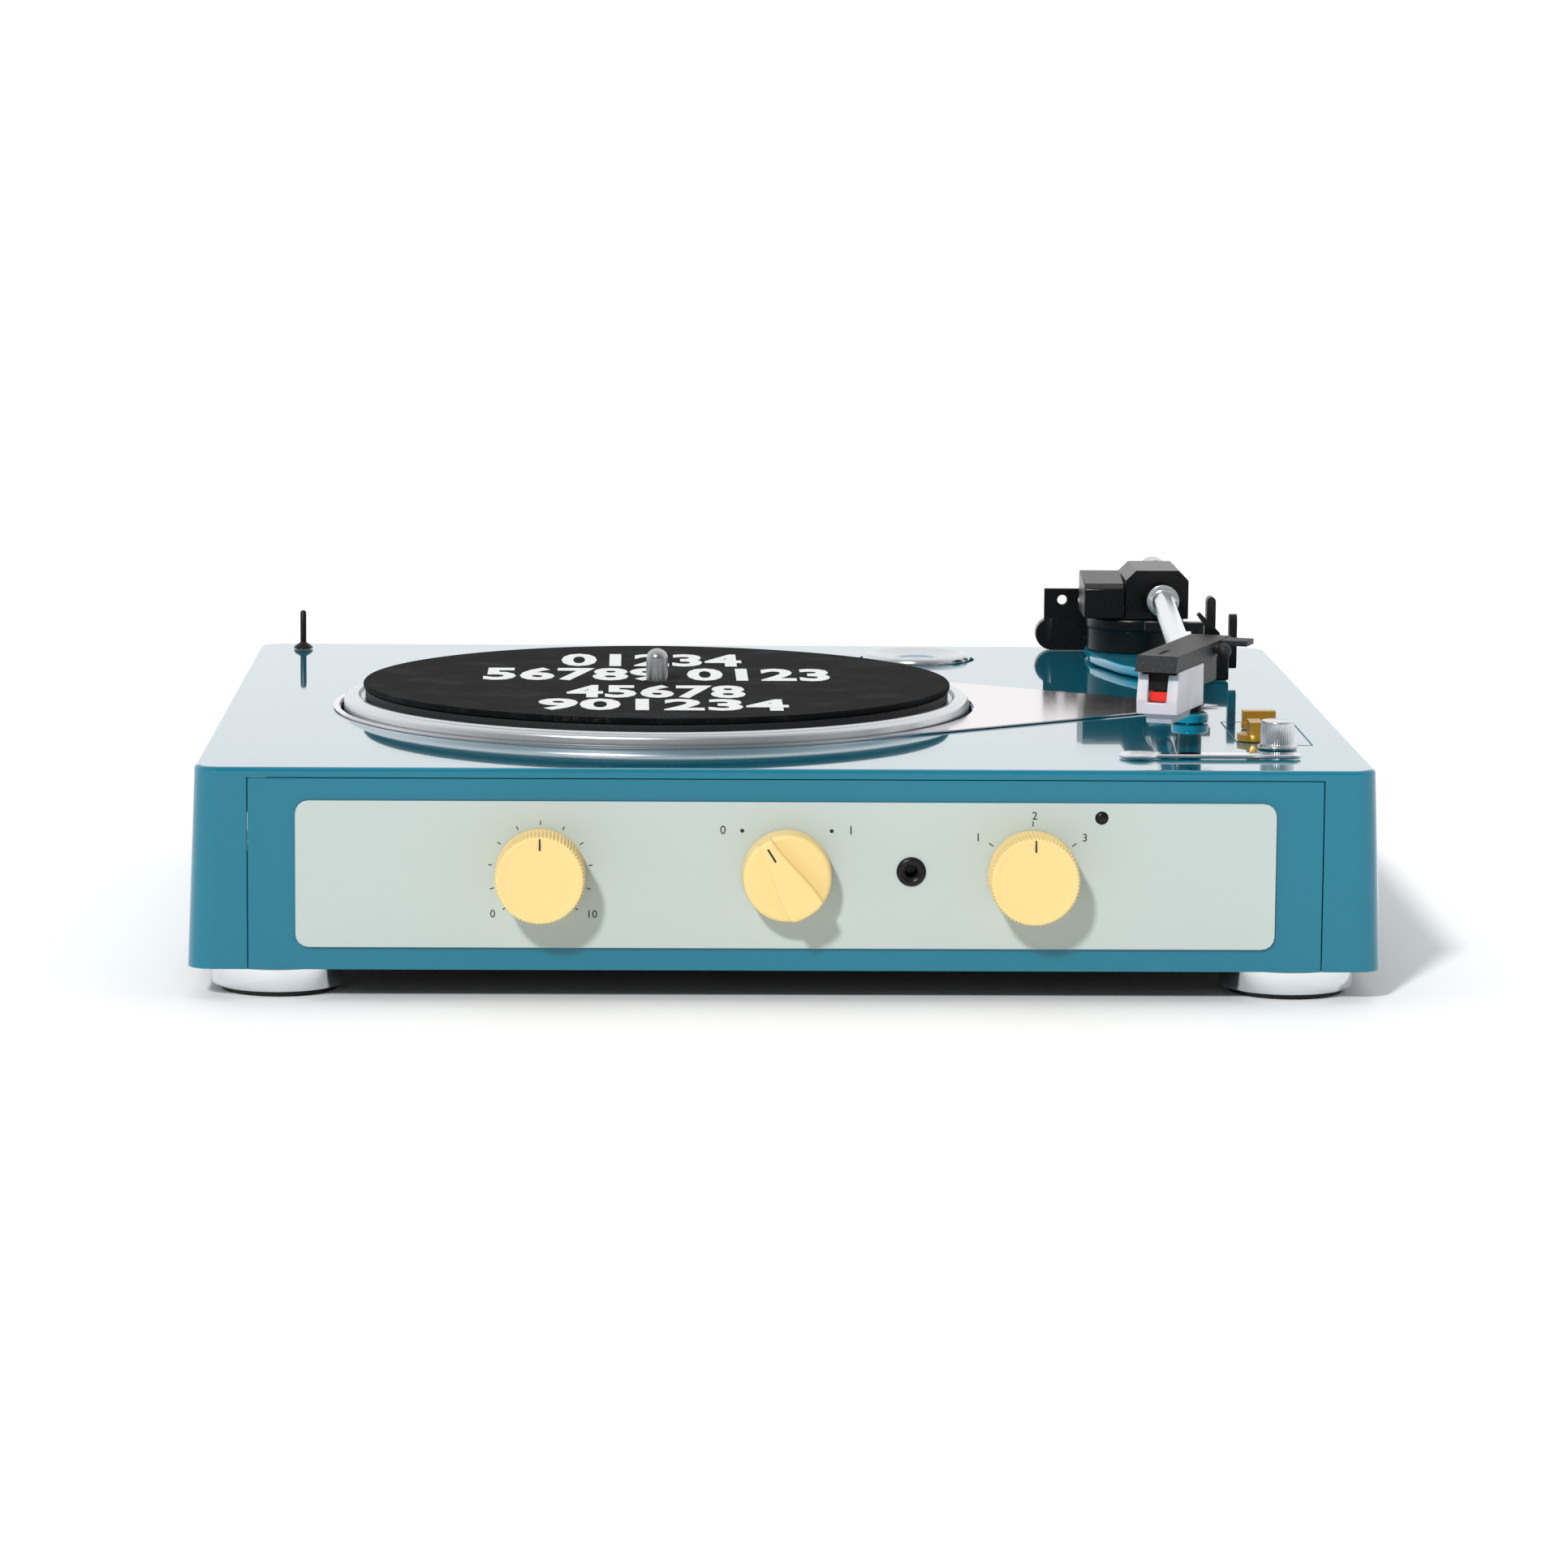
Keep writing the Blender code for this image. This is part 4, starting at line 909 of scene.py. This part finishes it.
class RECORD_OT_slipmat(Part, bpy.types.Operator):
    """Felt slipmat with block numerals"""

    bl_idname = "record_player.slipmat"
    bl_label = "Slipmat"

    def execute(self, context):
        low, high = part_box("slipmat")
        x, y, _ = middle("slipmat")
        radius, bore = (high[0] - low[0]) / 2, 0.0036
        top, bottom = high[2], low[2]

        def lift(angle, r):
            """Slow waves of the rim: 0.2 mm high at the edge and gone inside it."""
            fade = np.clip((r / radius - 0.6) / 0.4, 0, 1) ** 2
            return 0.0001 * (1 + np.sin(3 * angle + 2.2)) * fade

        reach = np.linspace(bore, radius - 0.0004, 26)
        upper = np.c_[reach, np.full(26, top)]
        edge = [(radius, top - 0.0005), (radius, bottom + 0.0005)]
        lower = np.c_[reach[::-1], np.full(26, bottom)]
        profile = np.vstack([upper, edge, lower, upper[:1]])
        steps = 240
        angle = np.linspace(0, 2 * np.pi, steps, endpoint=False)[None, :]
        r, h = profile[:, 0:1] + 0 * angle, profile[:, 1:2] + 0 * angle
        h = h + lift(angle, r)
        points = np.stack([x + r * np.cos(angle), y + r * np.sin(angle), h], axis=-1)
        mesh = tidy(mesh_of("felt", points.reshape(-1, 3), grid_faces(len(profile), steps, True)))
        mat = piece("slipmat_finish", mesh, LOOKS["felt"], "platter_body", ("slipmat",), 50)
        rows = []
        for words, (dx, dy), (wide, tall) in MAT_ROWS:
            mesh = numerals(words, wide, tall, 0.00012, 0.0007)
            rows.append(laid(mesh, Matrix.Translation((x + dx, y + dy, top + 0.00002))))
        # the ink rises with the felt below it
        ink = piece("slipmat_numerals", joined(rows), LOOKS["mat_ink"], "platter_body")
        points = np.empty(len(ink.data.vertices) * 3)
        ink.data.vertices.foreach_get("co", points)
        points = points.reshape(-1, 3)
        dx, dy = (points[:, :2] - (x, y)).T
        points[:, 2] += lift(np.arctan2(dy, dx), np.hypot(dx, dy))
        ink.data.vertices.foreach_set("co", points.ravel())
        return {"FINISHED"}


TIP_OFFSET = 0.0024  # how far the deck plate's tip lies behind the spindle
ADAPTER_BORE = 0.00375


class RECORD_OT_deck_plates(Part, bpy.types.Operator):
    """Silver film plate round the well, and the single adapter"""

    bl_idname = "record_player.deck_plates"
    bl_label = "Deck plate and adapter"

    def execute(self, context):
        low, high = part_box("teardrop_plate")
        x, y = middle("platter")[:2]
        inner = (corner("platter", 1, 0) - corner("platter", 0, 0)) / 2 + 0.0016
        outer = (high[1] - low[1]) / 2
        far = high[0] - x
        lean = math.atan2(TIP_OFFSET, far)
        # the rim's reach: the circle itself, then its tangent out to the tip
        touch = math.acos(outer / far)
        angle = np.linspace(0, 2 * np.pi, 720, endpoint=False) + lean
        off = np.abs((angle - lean + np.pi) % (2 * np.pi) - np.pi)
        rim = np.where(off < touch, outer / np.cos(touch - np.minimum(off, touch)), outer)
        loops = []
        hole, top, bottom = inner + 0 * rim, high[2], low[2]
        for reach, z in ((rim, bottom), (rim, top), (hole, top), (hole, bottom), (rim, bottom)):
            loops.append(np.c_[x + reach * np.cos(angle), y + reach * np.sin(angle), z + 0 * angle])
        mesh = tidy(mesh_of("plate", np.vstack(loops), grid_faces(5, 720, True)))
        film, slot = LOOKS["silver_plate"], "silver_plate"
        piece("teardrop_plate_finish", mesh, film, "cabinet", ("teardrop_plate",))
        low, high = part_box("adapter_45")
        x, y, _ = middle("adapter_45")
        r = (high[0] - low[0]) / 2
        ring = [
            (r - 0.0062, high[2] - 0.0010),
            (r - 0.0030, high[2]),
            (r - 0.0008, high[2] - 0.0003),
            (r, high[2] - 0.0016),
            (r, low[2]),
            (ADAPTER_BORE, low[2]),
            (ADAPTER_BORE, high[2] - 0.0022),
            (0.0060, high[2] - 0.0022),
        ]
        mesh = revolve(rounded(ring, 0.0006, 3), 144, (x, y, 0), closed=True)
        turned, slot = LOOKS["knob_metal"], "platter_metal"
        piece("adapter_finish", mesh, turned, "adapter", ("adapter_45",), 30)
        # a thin ring of cabinet teal in the adapter's dish: painted reflection of the teal deck in
        # the turned metal
        hollow = [
            (0.0062, high[2] - 0.0021),
            (r - 0.0066, high[2] - 0.0012),
            (r - 0.0064, high[2] - 0.0015),
            (0.0062, high[2] - 0.0024),
        ]
        mesh = revolve(hollow, 96, (x, y, 0), closed=True)
        piece("adapter_dish_painted_reflection", mesh, LOOKS["cabinet"], "adapter")
        return {"FINISHED"}


# ------------------------------------------------------------ tonearm
# name, finish, body, edge radius
ARM_PIECES = (
    ("tonearm_base", "black_plastic", "cabinet", 0.0006),
    ("tonearm_yoke", "black_plastic", "arm_swivel", 0.0005),
    ("arm_block", "black_plastic", "arm", 0.0005),
    ("arm_tube", "arm_metal", "arm", 0.0002),
    ("counterweight", "steel", "arm", 0.0004),
)
HEAD_PIECES = (
    ("headshell", "headshell", "arm", 0.0003),
    ("cartridge", "black_plastic", "arm", 0.0003),
    ("stylus", "red_plastic", "arm", 0.0001),
    ("stylus_guard", "milky_plastic", "guard", 0.0003),
)
REST_PIECES = (
    ("arm_rest_post", "black_plastic", "cabinet", 0.0003),
    ("arm_clip", "black_plastic", "clip", 0.0003),
    ("cue_base", "black_plastic", "cabinet", 0.0005),
    ("cue_platform", "black_plastic", "cue_lift", 0.0003),
    ("cue_lever", "black_plastic", "cue_handle", 0.0004),
)
DECK_PIECES = (
    ("speed_lever", "gold", "speed_handle", 0.0003),
    ("autostop_lever", "gold", "autostop_handle", 0.0003),
    ("trim_bar", "chrome", "cabinet", 0.0004),
    ("cover_pin", "black_plastic", "cabinet", 0.0002),
    ("cover_hinge_bracket", "black_plastic", "cabinet", 0.0004),
)


MARK_BOX = (0.1440, 0.1672, -0.0965, -0.0405)  # the printed box: left, right, front, rear
MARK_LINE = 0.0005


def finish_all(rows):
    """Each row's node gets rounded edges and its finish."""
    for name, look, body, edge in rows:
        soft_edges(refined(name, LOOKS[look], body), edge)


def blacken_collar(obj):
    """Faces of the arm tube that stand further from its axis than the tube itself are the black
    moulded collar: distance from the line through the two ends of the tube."""
    mesh = obj.data
    mesh.materials.append(LOOKS["black_plastic"])
    points = np.empty(len(mesh.vertices) * 3)
    mesh.vertices.foreach_get("co", points)
    points = points.reshape(-1, 3)
    rear = points[points[:, 1] > points[:, 1].max() - 0.0020].mean(0)
    front = points[points[:, 1] < points[:, 1].min() + 0.0020].mean(0)
    along = (front - rear) / np.linalg.norm(front - rear)
    centres = np.array([p.center[:] for p in mesh.polygons])
    off = centres - rear
    away = np.linalg.norm(off - np.outer(off @ along, along), axis=1)
    mesh.polygons.foreach_set("material_index", (away > 0.0042).astype(np.int32))


class RECORD_OT_tonearm(Part, bpy.types.Operator):
    """Arm base, tower, bearing block, tube and counterweight"""

    bl_idname = "record_player.tonearm"
    bl_label = "Tonearm"

    def execute(self, context):
        finish_all(ARM_PIECES)
        blacken_collar(bpy.data.objects["arm_tube_finish"])
        return {"FINISHED"}


class RECORD_OT_head(Part, bpy.types.Operator):
    """Head shell, cartridge, stylus and its milky guard"""

    bl_idname = "record_player.head"
    bl_label = "Head"

    def execute(self, context):
        finish_all(HEAD_PIECES)
        return {"FINISHED"}


class RECORD_OT_arm_rest(Part, bpy.types.Operator):
    """Arm rest with its clip, and the cue lift"""

    bl_idname = "record_player.arm_rest"
    bl_label = "Arm rest and cue"

    def execute(self, context):
        finish_all(REST_PIECES)
        return {"FINISHED"}


class RECORD_OT_deck_controls(Part, bpy.types.Operator):
    """Gold levers, pitch knob, chrome bar, cover peg and hinge bracket"""

    bl_idname = "record_player.deck_controls"
    bl_label = "Deck controls"

    def execute(self, context):
        finish_all(DECK_PIECES)
        low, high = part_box("pitch_knob")
        x, y, _ = middle("pitch_knob")
        flange = (high[0] - low[0]) / 2
        radius = flange - 0.0010
        side = [
            (0, high[2] - 0.0002),
            (radius - 0.0016, high[2] - 0.0002),
            (radius - 0.0012, high[2]),
            (radius - 0.0003, high[2]),
            (radius, high[2] - 0.0004),
            (radius, low[2] + 0.0012),
            (flange, low[2] + 0.0009),
            (flange, low[2]),
            (0, low[2]),
        ]

        def grip(angle, r, h):
            """Fine axial cuts on the side: r loses 0.12 mm along half of each wave."""
            wall = (np.abs(r - radius) < 0.00015) & (h < high[2] - 0.0006) & (h > low[2] + 0.0014)
            return -0.00012 * wall * (0.5 + 0.5 * np.cos(48 * angle))

        wall = rounded(side, 0.0002, 2)
        a, b = (radius, high[2] - 0.0007), (radius, low[2] + 0.0015)
        on_side = (np.abs(wall[:, 0] - radius) < 1e-6) & (wall[:, 1] < high[2] - 0.0005)
        index = int(np.argmax(on_side))
        wall = np.insert(wall, index, [a, b], axis=0)
        mesh = revolve(wall, 48 * 6, (x, y, 0), wave=grip)
        turned, slot = LOOKS["knob_metal"], "platter_metal"
        piece("pitch_knob_finish", mesh, turned, "pitch_body", ("pitch_knob",), 50)
        top = corner("cabinet_shell", 1, 2)
        left, right, front, rear = MARK_BOX
        turns = ((left, front), (right, front), (right, rear), (left, rear), (left, front))
        bars = [
            prism(bar_loop(start, end, MARK_LINE), top + HAIR, top + INK)
            for start, end in zip(turns[:-1], turns[1:])
        ]
        piece("deck_mark", joined(bars), LOOKS["deck_ink"], "cabinet")
        return {"FINISHED"}


class RECORD_OT_insides(Part, bpy.types.Operator):
    """Finishes of the controls, board and speakers inside"""

    bl_idname = "record_player.insides"
    bl_label = "Insides"

    def execute(self, context):
        for name in NODES:
            if NODES[name].hide_render:
                continue
            if name.startswith("speaker"):
                carried(name, "steel")
            elif name == "amp_board":
                carried(name, "board")
            elif name in ("volume_pot", "power_switch", "select_switch"):
                carried(name, "steel")
        return {"FINISHED"}


# ------------------------------------------------------------ stage
CAMERA_AT = (-0.0474, -1.85745, 0.3107)
CAMERA_TURNS = (1.562, 8.129, 0.447)  # yaw, pitch and roll, in degrees
CAMERA_LENS = 129.78  # mm, on a 36 mm sensor
KEY_FROM = (-0.32, -0.75, 0.58)  # the way to the key light


class RECORD_OT_stage(Part, bpy.types.Operator):
    """Pale floor, soft studio light and the camera"""

    bl_idname = "record_player.stage"
    bl_label = "Stage"

    def execute(self, context):
        scene = context.scene
        corners = [(-6, -6, 0), (6, -6, 0), (6, 6, 0), (-6, 6, 0)]
        floor_mesh = mesh_of("floor", corners, [(0, 1, 2, 3)])
        floor = bpy.data.objects.new("floor", floor_mesh)
        look, tree, shader, place = surface("pale_paper", linear("FDFDFD"), IOR=1.45)
        grained((look, tree, shader, place), 60.0, 0.85, 0.95, 0.02)
        floor_mesh.materials.append(look)
        scene.collection.objects.link(floor)
        self.lights(scene)
        self.camera(scene)
        return {"FINISHED"}

    def lights(self, scene):
        """A white room, darker towards the front, and one broad key light from the upper left."""
        world = bpy.data.worlds.new("studio")
        scene.world = world
        world.use_nodes = True
        tree = world.node_tree
        tree.nodes.clear()
        place = add(tree, "ShaderNodeTexCoord").outputs["Generated"]
        split = add(tree, "ShaderNodeSeparateXYZ", {"Vector": place})
        values = {"From Min": -0.8, "From Max": 0.3, "To Min": 0.30, "To Max": 1.3}
        front = add(tree, "ShaderNodeMapRange", {"Value": split.outputs["Y"], **values})
        room = add(tree, "ShaderNodeBackground", {"Strength": front.outputs["Result"]})
        add(tree, "ShaderNodeOutputWorld", {"Surface": room.outputs["Background"]})
        sun = bpy.data.lights.new("key", "SUN")
        sun.energy = 2.2
        sun.angle = 0.10
        key = bpy.data.objects.new("key", sun)
        scene.collection.objects.link(key)
        key.rotation_euler = Vector(KEY_FROM).to_track_quat("Z", "Y").to_euler()
        scene.view_settings.view_transform = "Standard"
        scene.view_settings.look = "None"

    def camera(self, scene):
        """A long lens a little above the deck: its axes turn by yaw, then pitch, then roll."""
        yaw, pitch, roll = (math.radians(a) for a in CAMERA_TURNS)
        right, ahead, up = Vector((1, 0, 0)), Vector((0, 1, 0)), Vector((0, 0, 1))
        ahead, right = (
            math.cos(yaw) * ahead + math.sin(yaw) * right,
            math.cos(yaw) * right - math.sin(yaw) * ahead,
        )
        ahead, up = (
            math.cos(pitch) * ahead - math.sin(pitch) * up,
            math.cos(pitch) * up + math.sin(pitch) * ahead,
        )
        right, up = (
            math.cos(roll) * right + math.sin(roll) * up,
            math.cos(roll) * up - math.sin(roll) * right,
        )
        data = bpy.data.cameras.new("camera")
        data.lens = CAMERA_LENS
        data.sensor_width = 36.0
        data.clip_end = 50
        eye = bpy.data.objects.new("camera", data)
        scene.collection.objects.link(eye)
        turn = Matrix((right, up, -ahead)).transposed().to_4x4()
        eye.matrix_world = Matrix.Translation(CAMERA_AT) @ turn
        scene.camera = eye


# ------------------------------------------------------------ add-on
PIECES = (
    RECORD_OT_cabinet,
    RECORD_OT_feet,
    RECORD_OT_face_plate,
    RECORD_OT_knobs,
    RECORD_OT_sockets,
    RECORD_OT_platter,
    RECORD_OT_slipmat,
    RECORD_OT_deck_plates,
    RECORD_OT_tonearm,
    RECORD_OT_head,
    RECORD_OT_arm_rest,
    RECORD_OT_deck_controls,
    RECORD_OT_insides,
    RECORD_OT_stage,
)


class RECORD_PT_panel(bpy.types.Panel):
    """Lists the record player's pieces and their settings"""

    bl_label = "Record player"
    bl_space_type = "VIEW_3D"
    bl_region_type = "UI"
    bl_category = "Record player"

    def draw(self, context):
        for group in (context.scene.record_player_colours, context.scene.record_player_sizes):
            box = self.layout.box()
            for name in group.__annotations__:
                box.prop(group, name)
        for operator in PIECES:
            self.layout.operator(operator.bl_idname)


CLASSES = (RecordPlayerColours, RecordPlayerSizes, *PIECES, RECORD_PT_panel)


def register():
    for cls in CLASSES:
        bpy.utils.register_class(cls)
    bpy.types.Scene.record_player_colours = PointerProperty(type=RecordPlayerColours)
    bpy.types.Scene.record_player_sizes = PointerProperty(type=RecordPlayerSizes)


def unregister():
    del bpy.types.Scene.record_player_sizes
    del bpy.types.Scene.record_player_colours
    for cls in reversed(CLASSES):
        bpy.utils.unregister_class(cls)


def main():
    register()
    make_looks()
    for operator in PIECES:
        group, name = operator.bl_idname.split(".")
        getattr(getattr(bpy.ops, group), name)()
    bpy.context.view_layer.update()


if __name__ == "__main__":
    main()
